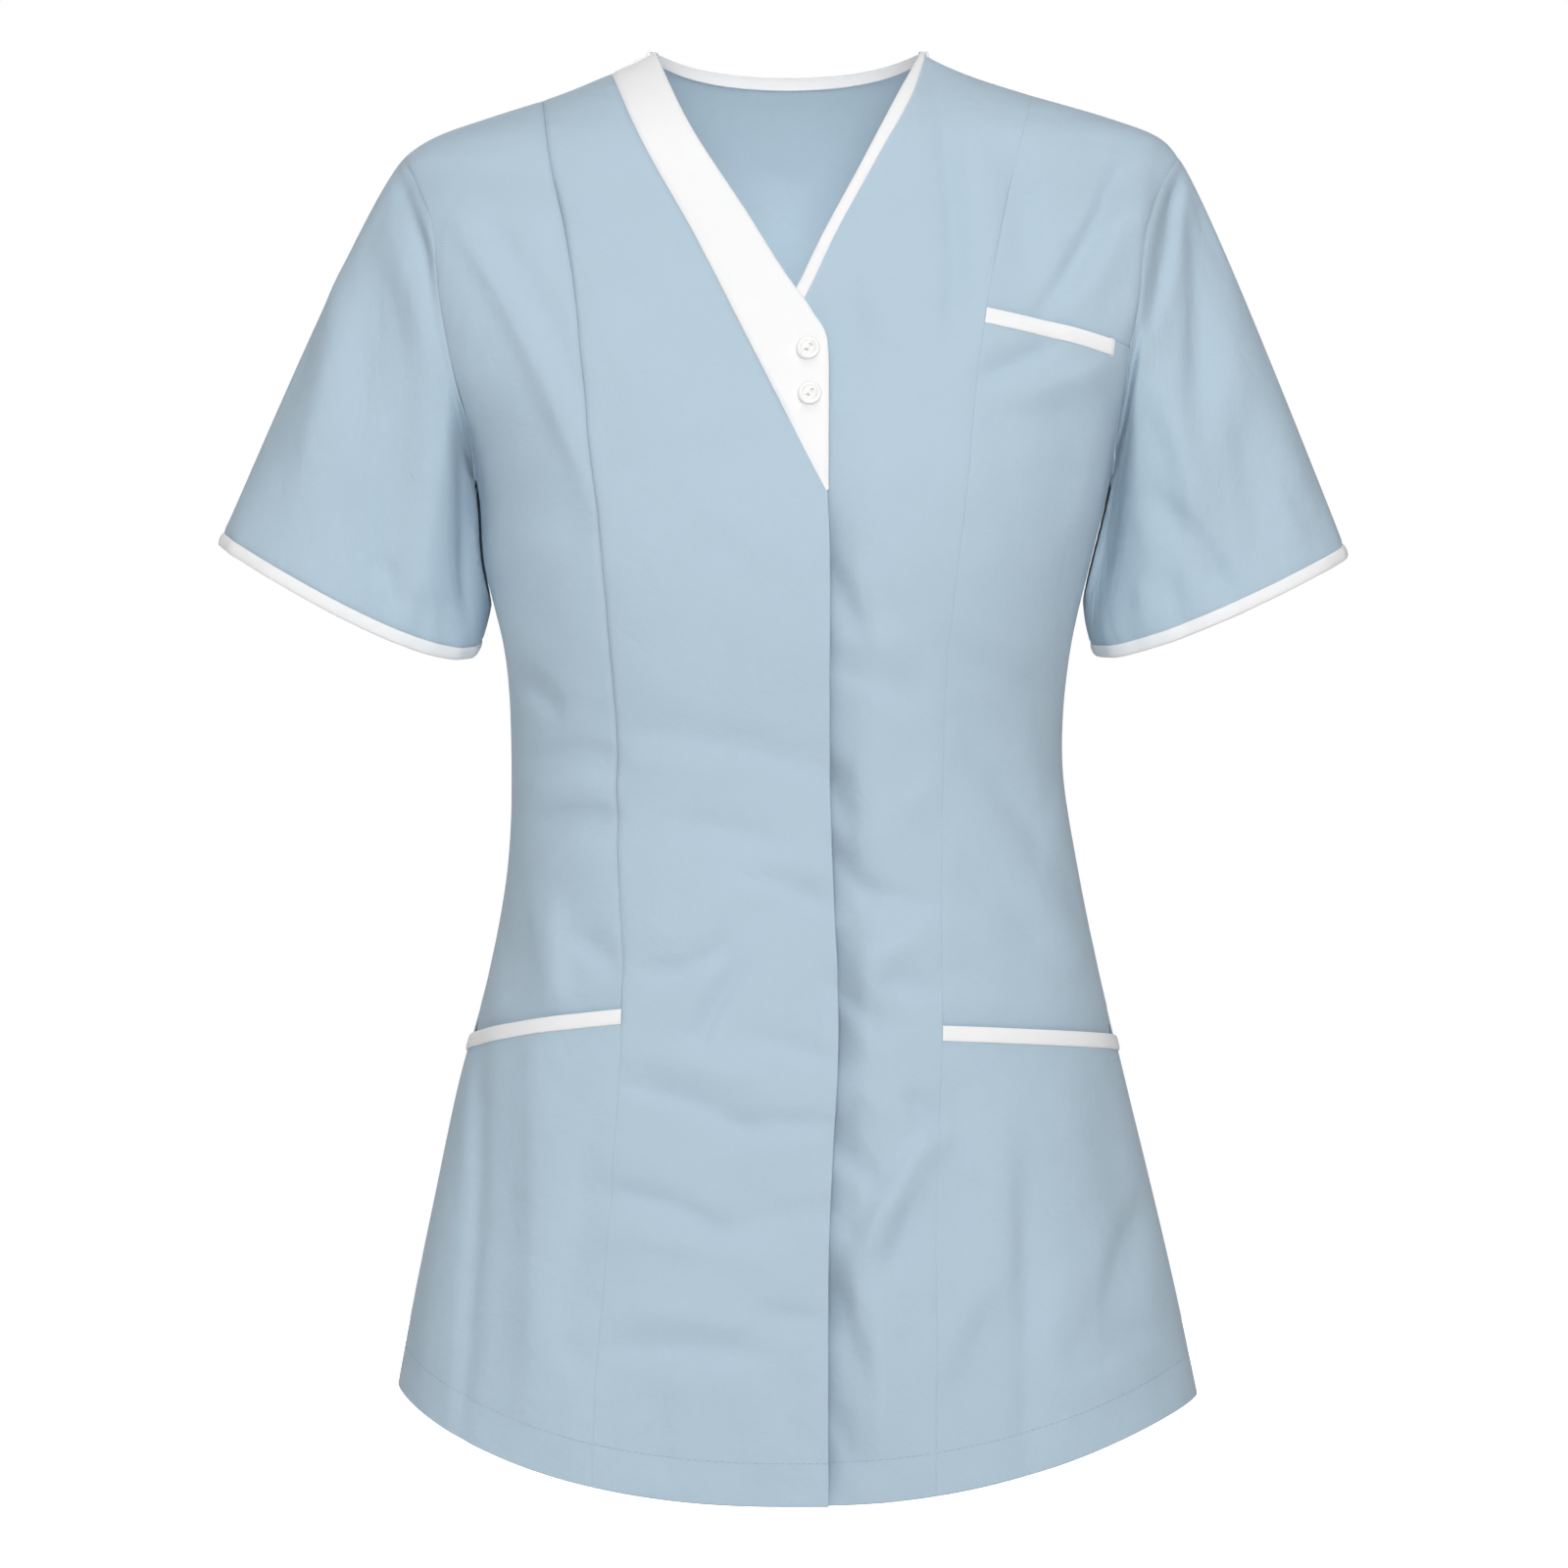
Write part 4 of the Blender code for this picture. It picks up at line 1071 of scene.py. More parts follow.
def sleeve_rings(row):
    """Rings from the armhole to the cuff, the direction in which the cuff points, and the turns."""
    sign = SLEEVES["sign"][row]
    turn = np.linspace(0, 2 * math.pi, SLEEVE_STEPS, endpoint=False)
    cosine = np.cos(turn)[:, None]
    sine = np.sin(turn)[:, None]
    under = ((1 - cosine) / 2) ** 2
    start = armhole_ring(sign, turn)
    end, along = cuff_ring(row, cosine, sine)
    leave = sleeve_leaves(row, cosine, sine, under)
    arrive = along * np.linalg.norm(end - start, axis=1, keepdims=True)
    arrive = arrive - under * [sign * SLEEVE_UNDER_TURNS_IN, 0, 0]
    share = edge_marks(SLEEVE_LENGTH, CELL)[:, None, None]
    left = 1 - share
    rings = start * (1 + 2 * share) * left ** 2 + leave * share * left ** 2
    rings = rings + end * share ** 2 * (3 - 2 * share) - arrive * share ** 2 * left
    return rings, along, turn


def clear_of_body(rings, sign):
    """Moves sleeve points out sideways until they are clear of the body's side."""
    height = rings[..., 2]
    y = rings[..., 1]
    roundness = smooth(FORM, "roundness", height)
    share = np.clip(np.abs(y) / depth(y, height), 0, 1)
    side = half_width(np.full(height.shape, sign), height) * (1 - share ** roundness) ** (1 / roundness)
    below = height < ARMHOLE_MIDDLE - ARMHOLE_HALF_HEIGHT + 1
    least = np.where(below, side + SLEEVE_CLEARANCE, 0)
    rings = rings.copy()
    rings[..., 0] = sign * np.maximum(sign * rings[..., 0], least)
    return rings


def ring_normals(rings):
    """Outward unit normals of a tube of rings."""
    round_step = np.roll(rings, -1, axis=1) - np.roll(rings, 1, axis=1)
    along_step = np.gradient(rings, axis=0)
    normals = np.cross(round_step, along_step)
    normals /= np.linalg.norm(normals, axis=-1, keepdims=True)
    outward = rings - rings.mean(axis=1, keepdims=True)
    return normals * np.sign((normals * outward).sum())


def fold_heights(folds, x, height):
    """Sum of the folds of a table at x and height."""
    total = np.zeros(np.shape(x))
    for x0, z0, x1, z1, bow, width, rise in zip(*folds.values()):
        length = math.hypot(x1 - x0, z1 - z0)
        ahead_x, ahead_z = (x1 - x0) / length, (z1 - z0) / length
        part = ((x - x0) * ahead_x + (height - z0) * ahead_z) / length
        inside = np.clip(part, 0, 1)
        aside = (height - z0) * ahead_x - (x - x0) * ahead_z - bow * 4 * inside * (1 - inside)
        # each fold is steeper on one of its sides, now on one and now on the other
        lean = FOLD_LEAN * math.copysign(1, math.sin(x0 + 2 * z0))
        aside = aside / (width * FOLD_NARROW * (1 + lean * np.sign(aside)))
        begins = ramp(part, -FOLD_SOFT_END, FOLD_SOFT_END)
        ends = ramp(part, 1 - FOLD_SOFT_END, 1 + FOLD_SOFT_END)
        total += rise * bump(aside, 1) * (begins * (1 - ends))
    return total * FOLD_SCALE


def soft_noise(u, v, spacing, seed):
    """Smooth noise from -1 to 1 with bumps about spacing apart."""
    draws = np.random.default_rng(seed).uniform(-1, 1, (NOISE_GRID, NOISE_GRID))
    u = u / spacing + NOISE_GRID / 2
    v = v / spacing + NOISE_GRID / 2
    left = np.floor(u).astype(int)
    low = np.floor(v).astype(int)
    part_u = ramp(u - left, 0, 1)
    part_v = ramp(v - low, 0, 1)

    def draw(step_u, step_v):
        return draws[(left + step_u) % NOISE_GRID, (low + step_v) % NOISE_GRID]

    bottom = draw(0, 0) * (1 - part_u) + draw(1, 0) * part_u
    top = draw(0, 1) * (1 - part_u) + draw(1, 1) * part_u
    return bottom * (1 - part_v) + top * part_v


def armhole_level(y, height):
    """1 on the armhole's oval, seen from the side, and less inside it."""
    return np.hypot(y / ARMHOLE_FRONT, (height - ARMHOLE_MIDDLE) / ARMHOLE_HALF_HEIGHT)


def body_folds(points):
    """Creases of front and back, which fade out towards the side and shoulder seams."""
    x, y, height = np.moveaxis(points[..., :3], -1, 0)
    total = 0
    for facing, folds, (seed, fine_seed) in ((-1, FRONT_FOLDS, FRONT_SEEDS), (1, BACK_FOLDS, BACK_SEEDS)):
        rise = fold_heights(folds, x, height)
        rise += CRUMPLE_HEIGHT * soft_noise(x, height, CRUMPLE_SPACING, seed)
        rise += FINE_CRUMPLE_HEIGHT * soft_noise(x, height, FINE_CRUMPLE_SPACING, fine_seed)
        total = total + ramp(facing * y / depth(y, height), *FOLD_FADE) * rise
    return total * ramp(armhole_level(y, height), *ARMHOLE_FADE)


def bridge(points):
    """How far the cloth bridges the crook between body and sleeve, by the place on the armhole."""
    x, y, height = np.moveaxis(points[..., :3], -1, 0)
    low, start = (np.where(x < 0, *ends) for ends in BRIDGE_LOW)
    upward = ramp(height, low, start) * (1 - ramp(height, *BRIDGE_TOP))
    return BRIDGE_HEIGHT * upward * ramp(np.abs(y) / ARMHOLE_FRONT, *BRIDGE_FACING)


def bridged(points):
    """Body points moved forward or back beside the armholes, where the cloth bridges the crook."""
    x, y, height = np.moveaxis(points[..., :3], -1, 0)
    beside = bump((armhole_level(y, height) - 1) * ARMHOLE_FRONT, BRIDGE_REACH)
    moved = points.copy()
    moved[..., 1] += np.sign(y) * bridge(points) * (beside * ramp(np.abs(x), *BRIDGE_FROM_X))
    return moved


def valley(points, side):
    """Depth of the valley in a sleeve (0 right, 1 left) at points of its seam."""
    height = points[..., 2]
    along = ramp(height, *VALLEY_LOW[side]) * (1 - ramp(height, *VALLEY_TOP[side]))
    return VALLEY_DEPTH * along * ramp(np.abs(points[..., 1]) / ARMHOLE_FRONT, *VALLEY_FACING)


def edge_distances(points, closed=False):
    """Distance of every point from the four edges of its grid, by the edge's name."""
    up = lengths_along(points)
    over = lengths_along(points, axis=1)
    distances = {"bottom": up, "top": up[-1:] - up}
    if not closed:
        distances.update(first=over, last=over[:, -1:] - over)
    return distances


def sewn_distance(points, edges, closed=False):
    """Distance from the nearest sewn edge; edges names them, each with an optional mask."""
    distances = edge_distances(points, closed)
    nearest = np.full(points.shape[:2], FAR)
    for edge, where in edges.items():
        nearest = np.minimum(nearest, np.where(where, distances[edge], FAR))
    return nearest


def seam_calm(points):
    """How far a seam is smoothed: most on the left princess seam, and low down on every seam."""
    x, _, height = np.moveaxis(points[..., :3], -1, 0)
    left = LEFT_SEAM_CALM + (LEFT_SLEEVE_CALM - LEFT_SEAM_CALM) * ramp(x, *LEFT_SEAM_X)
    return np.maximum(left * (x > 0), LOW_SEAM_CALM * ramp(-height, *LOW_SEAM_HEIGHT))


def sewn_dip(points, distance):
    """The cloth dips into its seams, with small ripples beside them, and less where a sleeve is set in."""
    x, _, height = np.moveaxis(points[..., :3], -1, 0)
    ripple = soft_noise(points[..., 0] + points[..., 1], height, PUCKER_SPACING, PUCKER_SEED)
    armhole = ramp(np.abs(x), *ARMHOLE_CALM_X) * ramp(height, *ARMHOLE_CALM_HEIGHT)
    dip = SEAM_DIP * (1 - np.where(x < 0, 1, ARMHOLE_CALM) * armhole)
    moved = PUCKER_HEIGHT * ripple * np.exp(-distance / PUCKER_REACH) - dip * bump(distance, SEAM_ROUND)
    return moved * (1 - seam_calm(points))


def drawn_in(points, edges):
    """Draws the named edges of a grid in by the gap of a seam."""
    points = points.copy()
    places = {"bottom": (0, 1, 0), "top": (-1, -2, 0), "first": (0, 1, 1), "last": (-1, -2, 1)}
    for name in edges:
        edge, inner, axis = places[name]
        view = np.moveaxis(points, axis, 0)
        inward = view[inner, :, :3] - view[edge, :, :3]
        gap = SEWN_GAP * (1 - seam_calm(view[edge]))[..., None]
        view[edge, :, :3] += inward * gap / np.linalg.norm(inward, axis=-1, keepdims=True)
    return points


def rim_loops(index, closed):
    """The loops of points round the edge of a grid, and the points next to them inside."""
    if closed:
        return [(index[0], index[1]), (index[-1, ::-1], index[-2, ::-1])]
    rows, columns = index.shape
    across = np.arange(columns)
    up = np.arange(rows)
    row = np.concatenate([0 * across, up[1:], 0 * across[1:] + rows - 1, up[-2:0:-1]])
    column = np.concatenate([across, 0 * up[1:] + columns - 1, across[-2::-1], 0 * up[-2:0:-1]])
    inside = index[np.clip(row, 1, rows - 2), np.clip(column, 1, columns - 2)]
    return [(index[row, column], inside)]


def weave_lengths(points, closed):
    """Lengths across and along the cloth at every point, which its weave follows.

    On a tall open piece they start from the first point's own place, so the weave runs on past seams.
    """
    over = lengths_along(points, axis=1)
    up = lengths_along(points)
    if not closed and np.ptp(points[..., 2]) > TALL_PIECE:
        direction = math.copysign(1, (points[:, -1, 0] - points[:, 0, 0]).sum())
        return points[:, :1, 0] + direction * over, points[:1, :, 2] + up
    return over, up


def shell(name, outer, normals, wall, material, closed, seam):
    """A thin closed shell under a grid of outer points, with round rims."""
    rows, columns = outer.shape[:2]
    count = rows * columns
    wall = np.broadcast_to(wall, (rows, columns))
    flat_outer = outer.reshape(-1, 3)
    flat_inner = (outer - normals * wall[..., None]).reshape(-1, 3)
    flat_wall = wall.reshape(-1)
    index = np.arange(count).reshape(rows, columns)
    ring = np.concatenate([index, index[:, :1]], axis=1) if closed else index
    quads = np.stack([ring[:-1, :-1], ring[:-1, 1:], ring[1:, 1:], ring[1:, :-1]], axis=-1).reshape(-1, 4)
    points = [flat_outer, flat_inner]
    source = [index.reshape(-1), index.reshape(-1)]
    faces = [quads, quads[:, ::-1] + count]
    total = 2 * count
    for loop, inside in rim_loops(index, closed):
        away = flat_outer[loop] - flat_outer[inside]
        away /= np.linalg.norm(away, axis=1, keepdims=True)
        middle = (flat_outer[loop] + flat_inner[loop]) / 2 + away * flat_wall[loop, None] * RIM_ROUNDING
        rim = total + np.arange(len(loop))
        after, rim_after = np.roll(loop, -1), np.roll(rim, -1)
        faces.append(np.stack([after, loop, rim, rim_after], axis=-1))
        faces.append(np.stack([rim_after, rim, loop + count, after + count], axis=-1))
        points.append(middle)
        source.append(loop)
        total += len(loop)
    faces = np.concatenate(faces)
    first, second, third = (flat_outer[quads[:, k]] for k in (0, 1, 3))
    facing = np.cross(second - first, third - first)
    if (facing * normals.reshape(-1, 3)[quads[:, 0]]).sum() < 0:
        faces = faces[:, ::-1]
    piece = mesh_object(name, np.concatenate(points), faces.tolist(), material)
    source = np.concatenate(source)
    over, up = weave_lengths(outer, closed)
    lengths = np.stack([over, up, np.zeros_like(up)], axis=-1).reshape(-1, 3)[source] * MM
    # distance from the nearest sewn edge, which drives the painted shade in the seams and the ripples
    # beside them
    distance = seam.reshape(-1)[source]
    weave = piece.data.attributes.new("cloth", "FLOAT_VECTOR", "POINT")
    weave.data.foreach_set("vector", lengths.astype(np.float32).ravel())
    sewn = piece.data.attributes.new("seam", "FLOAT", "POINT")
    sewn.data.foreach_set("value", distance.astype(np.float32))
    return piece


def mesh_object(name, points, faces, material):
    """A smooth mesh in the scene, from points in millimetres."""
    mesh = bpy.data.meshes.new(name)
    mesh.from_pydata((points * MM).tolist(), [], faces)
    mesh.shade_smooth()
    mesh.materials.append(material)
    piece = bpy.data.objects.new(name, mesh)
    bpy.context.scene.collection.objects.link(piece)
    return piece


def cut_size(points, closed):
    """Width, length and area of the cut that shows, measured on the surface before it creases."""
    if closed:
        points = np.concatenate([points, points[:, :1]], axis=1)
    over = points[:-1, 1:] - points[:-1, :-1]
    up = points[1:, :-1] - points[:-1, :-1]
    area = np.linalg.norm(np.cross(over, up), axis=-1).sum()
    width = lengths_along(points, axis=1)[:, -1].max()
    length = lengths_along(points)[-1].max()
    return width, length, min(area, width * length)


def cloth_piece(name, grid, lift, wall, material, sewn, closed=False, normals=None):
    """One piece of cloth: its surface is moved out by lift, and it dips into its sewn edges."""
    points = drawn_in(grid[..., :3], sewn)
    normals = form_normals(points) if normals is None else normals
    distance = sewn_distance(points, sewn, closed)
    outer = points + normals * (lift + sewn_dip(points, distance))[..., None]
    # smooth seams count as farther off, so they get less of the painted seam shade
    shaded = distance + SEAM_FADE * seam_calm(points)
    piece = shell(name + "_cloth", outer, normals, wall, material, closed, shaded)
    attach(piece, BODY)
    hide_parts(name)
    return piece, outer, normals


def cut(piece, grid, closed=False):
    """Measures the width, length and area of the cut that shows; nothing uses them."""
    width, length, area = cut_size(grid[..., :3], closed)
    area = area * MM * MM


def binding(name, grid, lift, wall, material, closed=False, normals=None):
    """A white strip, made as cloth with no sewn edges."""
    return cloth_piece(name, grid, lift, wall, material, {}, closed, normals)[0]


def overlap_dents(points):
    """Dents of the left front beside the overlap, where it gapes behind the right one."""
    x, _, height = np.moveaxis(points[..., :3], -1, 0)
    edge = smooth(OVERLAP_EDGE, "x", height)
    share = np.maximum(x - edge + DENT_BEHIND, 0) / DENT_REACH
    near = np.clip(1 - share, 0, 1) ** DENT_ROUND * ramp(-height, *DENT_START)
    total = np.full(x.shape, DENT_LEAST)
    for middle, half, deep in zip(*OVERLAP_DENTS.values()):
        total += deep * bump(height - middle, half)
    return -DENT_SCALE * total * near


def overlap_lip(points):
    """The edge of the right front stands a little off the left one, in waves."""
    distance = lengths_along(points, axis=1)
    height = points[..., 2]
    wave = 1 + LIP_WAVE * soft_noise(height, 0 * height, LIP_SPACING, LIP_SEED)
    below = ramp(-height, *LIP_START)
    return LIP_HEIGHT * wave * below * np.exp(-distance / LIP_REACH)


def tuck(points, amount):
    """How far the wearer's left front drops behind the right front at the overlap."""
    across = 1 - ramp(points[..., 0], *TUCK_X)
    down = 1 - ramp(points[..., 2], *TUCK_HEIGHT)
    return -amount * across * down


def hem_wall(points):
    """Thickness of the cloth, which is doubled where the hem is turned up."""
    single = ramp(lengths_along(points), HEM_WIDTH - HEM_STEP, HEM_WIDTH + HEM_STEP)
    return CLOTH_WALL + (HEM_WALL - CLOTH_WALL) * (1 - single)


def hem_groove(points):
    """The groove that the hem's stitches draw into the cloth."""
    return -HEM_GROOVE * bump(lengths_along(points) - HEM_WIDTH, HEM_GROOVE_ROUND)


def make_front_centres(blue, left_binding, stitches):
    """The fronts beside the opening: the right one laps over the left one, which is dented there."""
    for side, sign in SIDES:
        if sign < 0:
            grid = front_centre_grid(sign, lambda height: smooth(OVERLAP_EDGE, "x", height))
            lift = overlap_lip(grid)
        else:
            grid = front_centre_grid(sign, lambda height: np.full(np.shape(height), UNDERLAP_X))
            lift = tuck(grid, OVERLAP_STEP) + overlap_dents(grid)
        lift = lift + body_folds(grid) + hem_groove(grid)
        foot = RIGHT_V_ROW if sign < 0 else LEFT_V_ROW
        sewn = {"first": grid[..., 3] >= foot, "last": True}
        piece, outer, normals = cloth_piece(f"{side}_front_centre", grid, lift, hem_wall(grid), blue, sewn)
        cut(piece, grid)
        hem_stitches(stitches, grid, outer, normals)


def make_front_sides(blue, white, thread, stitches):
    """The side panels of the front with the chest pocket and the hip pockets."""
    grid = front_side_grid(1, CHEST_TRIM_ROW, CHEST_MOUTH_ROW, TRIM_CELL, CHEST_TRIM_SHARE)
    lift = body_folds(grid) + chest_mouth(grid, np.linspace(0, CHEST_TRIM_SHARE, grid.shape[1]))
    chest_trim, outer, normals = make_trim("chest_pocket_trim", grid, lift, white)
    make_bar_tack(outer, normals, thread)
    for side, sign in SIDES:
        make_hip_pocket(side, sign, blue, white, stitches)
        top_row = ROW_COUNT - 1 if sign < 0 else CHEST_MOUTH_ROW
        grid = front_side_grid(sign, 0, top_row)
        lift = body_folds(grid) - POCKET_STEP * (1 - ramp(grid[..., 3], *HIP_BAG_ROWS))
        sewn = {"first": True, "last": True}
        if sign > 0:
            lift = lift + chest_mouth(grid, np.linspace(0, 1, grid.shape[1]))
        piece, _, _ = cloth_piece(f"{side}_front_side", grid, lift, hem_wall(grid), blue, sewn)
        cut(piece, grid)
    grid = front_side_grid(1, CHEST_BAG_ROW, ROW_COUNT - 1)
    row = grid[..., 3]
    lift = body_folds(grid) - BAG_STEP * (1 - ramp(row, *CHEST_BAG_ROWS))
    sewn = {"first": row > CHEST_MOUTH_ROW, "last": row > CHEST_MOUTH_ROW}
    cut(cloth_piece("left_front_upper_side", grid, lift, CLOTH_WALL, blue, sewn)[0], grid)


def chest_mouth(grid, across):
    """The pocket's mouth stands off a little in its middle, and lies flush past its outer end."""
    near = 1 - ramp(grid[-1:, :, 2] - grid[..., 2], 0, CHEST_MOUTH_REACH)
    open_share = np.sin(math.pi * np.clip(across / CHEST_TRIM_SHARE, 0, 1)) * CHEST_MOUTH_OPEN
    return near * open_share


def hip_mouth(grid):
    """A hip pocket's mouth stands off a little in its middle."""
    return HIP_MOUTH_OPEN * np.sin(math.pi * np.linspace(0, 1, grid.shape[1]))


def make_hip_pocket(side, sign, blue, white, stitches):
    """The outer layer of a hip pocket, from its mouth to the hem, with its white trim."""
    grid = front_side_grid(sign, POCKET_TRIM_ROW, POCKET_MOUTH_ROW, TRIM_CELL)
    trim = make_trim(f"{side}_hip_pocket_trim", grid, body_folds(grid) + hip_mouth(grid), white)[0]
    grid = front_side_grid(sign, 0, POCKET_MOUTH_ROW)
    near = ramp(grid[..., 2] - grid[-1:, :, 2], -HIP_MOUTH_REACH, 0)
    lift = body_folds(grid) + hip_mouth(grid) * near + hem_groove(grid)
    sewn = {"first": True, "last": True}
    piece, outer, normals = cloth_piece(f"{side}_hip_pocket", grid, lift, hem_wall(grid), blue, sewn)
    cut(piece, grid)
    hem_stitches(stitches, grid, outer, normals)


def crowned(points, height, power):
    """Height of a pressed strip across its width: full in the middle, rounded off at both edges."""
    up = lengths_along(points)
    share = np.abs(2 * up / up[-1:] - 1)
    return height * (1 - share ** power)


def make_trim(name, grid, lift, white):
    """The white strip along a pocket's mouth, pressed flat on the pocket."""
    lift = lift + TRIM_LIFT - TRIM_CROWN + crowned(grid, TRIM_CROWN, TRIM_CROWN_POWER)
    return cloth_piece(name, grid, lift, TRIM_WALL, white, {})


def make_bar_tack(outer, normals, thread):
    """Close stitches across the outer end of the chest pocket's trim, which hold the pocket's mouth."""
    run = lengths_along(outer, axis=1)
    lines = []
    for inset in TACK_INSETS:
        ends = []
        for row in (0, -1):
            at = run[row, -1] - inset
            ends.append([np.interp(at, run[row], outer[row, :, k]) for k in range(3)])
        part = np.linspace(-TACK_OVERHANG, 1 + TACK_OVERHANG, TACK_POINTS)[:, None]
        line = np.array(ends[0]) * (1 - part) + np.array(ends[1]) * part
        rise = TACK_RISE - TACK_DROP * np.abs(2 * part - 1) ** TACK_DROP_POWER
        out = np.repeat(normals[-1:, -1], len(line), axis=0)
        lines.append((line + out * rise, out))
    make_threads("chest_pocket_bar_tack", round_threads(lines, TACK_RADIUS), thread)


def make_back(blue, neck_binding, stitches):
    """The back in one piece, from side seam to side seam."""
    left = back_half_grid(1)
    right = back_half_grid(-1)
    grid = np.concatenate([right[:, :0:-1], left], axis=1)
    lift = body_folds(grid) + hem_groove(grid)
    sewn = {"first": True, "last": True, "top": np.abs(grid[..., 0]) < NECK_HALF_WIDTH}
    piece, outer, normals = cloth_piece("back", grid, lift, hem_wall(grid), blue, sewn)
    cut(piece, grid)
    hem_stitches(stitches, grid, outer, normals)


def neck_strip(seam_line, edge_line, size, cell):
    """The strip between the neckline's seam and its free edge, from the foot of the V up."""
    width, length = size
    along = edge_marks(length, BINDING_CELL)
    seam = line_at(seam_line[::-1], along)
    edge = line_at(edge_line[::-1], along)
    share = edge_marks(width, cell)[:, None, None]
    mixed = seam[None] * (1 - share) + edge[None] * share
    return at_front(mixed[..., 0], mixed[..., 1])


def make_neck_band(white):
    """The wide band along the right side of the V, down to its pointed foot."""
    grid = neck_strip(BAND_SEAM, BAND_EDGE, BAND_SIZE, BINDING_CELL)
    distance = lengths_along(grid)
    lift = BAND_PROUD * ramp(distance, 0, BAND_PROUD_FROM)
    lift = lift - BAND_ROUND * bump(distance[-1:] - distance, BAND_ROUND_REACH)
    sewn = {"bottom": True}
    cut(cloth_piece("neck_band", grid, lift, BINDING_WALL, white, sewn)[0], grid)


def make_left_binding(white):
    """The narrow binding along the left side of the V."""
    grid = neck_strip(BINDING_SEAM, BINDING_EDGE, BINDING_SIZE, FINE_CELL)
    lift = tuck(grid, OVERLAP_STEP) + crowned(grid, BINDING_CROWN, BINDING_CROWN_POWER)
    return binding("left_neck_binding", grid, lift, BINDING_WALL, white)


def make_back_binding(white):
    """The narrow binding of the back neck, which stands up from the seam."""
    angles = np.linspace(math.pi / 2, 3 * math.pi / 2, BACK_BINDING_STEPS)
    foot = at_angle(angles, back_neck_height(angles))
    widening = BACK_BINDING_AT_CENTRE - BACK_BINDING_AT_SHOULDER
    rise = BACK_BINDING_AT_SHOULDER + widening * np.abs(np.cos(angles))
    share = edge_marks(BACK_BINDING_AT_CENTRE, FINE_CELL)[:, None]
    outward = form_normals(foot) * [1, 1, 0]
    outward /= np.linalg.norm(outward, axis=-1, keepdims=True)
    above = share * (rise + BACK_BINDING_OVERLAP) - BACK_BINDING_OVERLAP
    grid = foot[None] + above[..., None] * [0, 0, 1]
    lift = crowned(grid, BINDING_CROWN, BINDING_CROWN_POWER)
    out = np.repeat(outward[None], len(grid), axis=0)
    return binding("back_neck_binding", grid, lift, BINDING_WALL, white, normals=out)


def sleeve_folds(rings, normals, row):
    """Creases of a sleeve's front from its own table, and of its back from the other sleeve's."""
    sleeves = (RIGHT_SLEEVE_FOLDS, LEFT_SLEEVE_FOLDS)
    own, other = sleeves[row], sleeves[1 - row]
    mirrored = dict(other)
    mirrored.update({name: -other[name] for name in ("x0", "x1", "bow")})
    x, _, height = np.moveaxis(rings, -1, 0)
    front = ramp(-normals[..., 1], *SLEEVE_FACING)
    back = ramp(normals[..., 1], *SLEEVE_FACING)
    crumple = CRUMPLE_HEIGHT * soft_noise(x, height, CRUMPLE_SPACING, SLEEVE_SEED + row)
    from_seam = ramp(edge_distances(rings, closed=True)["bottom"], *SLEEVE_FADE)
    front = front * (fold_heights(own, x, height) + crumple)
    return from_seam * (front + back * (fold_heights(mirrored, x, height) - crumple))


def tucked_in(rings, normals):
    """Rings whose first one is laid over or under the edge of the armhole and tucked in behind it."""
    body = form_normals(rings[0])
    leave = rings[1] - rings[0]
    leave /= np.linalg.norm(leave, axis=-1, keepdims=True)
    folded_over = np.clip(-(normals[0] * body).sum(axis=-1, keepdims=True), 0, 1)
    rings = rings.copy()
    rings[0] += body * folded_over * SLEEVE_SEAM_STEP - leave * SLEEVE_TUCKED_IN
    rings[0] -= body * (1 - folded_over) * SLEEVE_UNDER
    return rings


def worn_sleeve(rings, turn, row):
    """A sleeve's rings with its creases, its swell and valley at the seam and its pinched underside."""
    sign = SLEEVES["sign"][row]
    rings = clear_of_body(rings, sign)
    normals = ring_normals(rings)
    rings = tucked_in(rings, normals)
    distances = edge_distances(rings, closed=True)
    from_seam, to_cuff = distances["bottom"], distances["top"]
    calm = 1 - (1 - CUFF_CALM) * bump(to_cuff, CUFF_REACH)
    round_about = np.degrees(turn)[None] + 0 * to_cuff
    stretched = to_cuff * CUFF_PUCKER_STRETCH
    ripple = soft_noise(round_about, stretched, CUFF_PUCKER_TURN, CUFF_PUCKER_SEED + row)
    lift = sleeve_folds(rings, normals, row) * calm
    lift = lift + CUFF_PUCKER * ripple * np.exp(-to_cuff / CUFF_PUCKER_REACH)
    swell = bridge(rings[:1]) * bump(from_seam, BRIDGE_REACH)
    beside = bump(from_seam - VALLEY_MIDDLE, VALLEY_REACH) * np.minimum(1, from_seam / VALLEY_START)
    moved = rings + normals * lift[..., None]
    moved[..., 1] += np.sign(rings[:1, :, 1]) * (swell - valley(rings[:1], row) * beside)
    from_top = np.minimum(turn, 2 * math.pi - turn)
    pinch = SLEEVE_PINCH * ramp(from_top, *PINCH_TURN) * ramp(from_seam, *SLEEVE_FADE)
    moved[..., 1] *= 1 - pinch * ramp(to_cuff, *PINCH_CUFF)
    return clear_of_body(moved, sign)


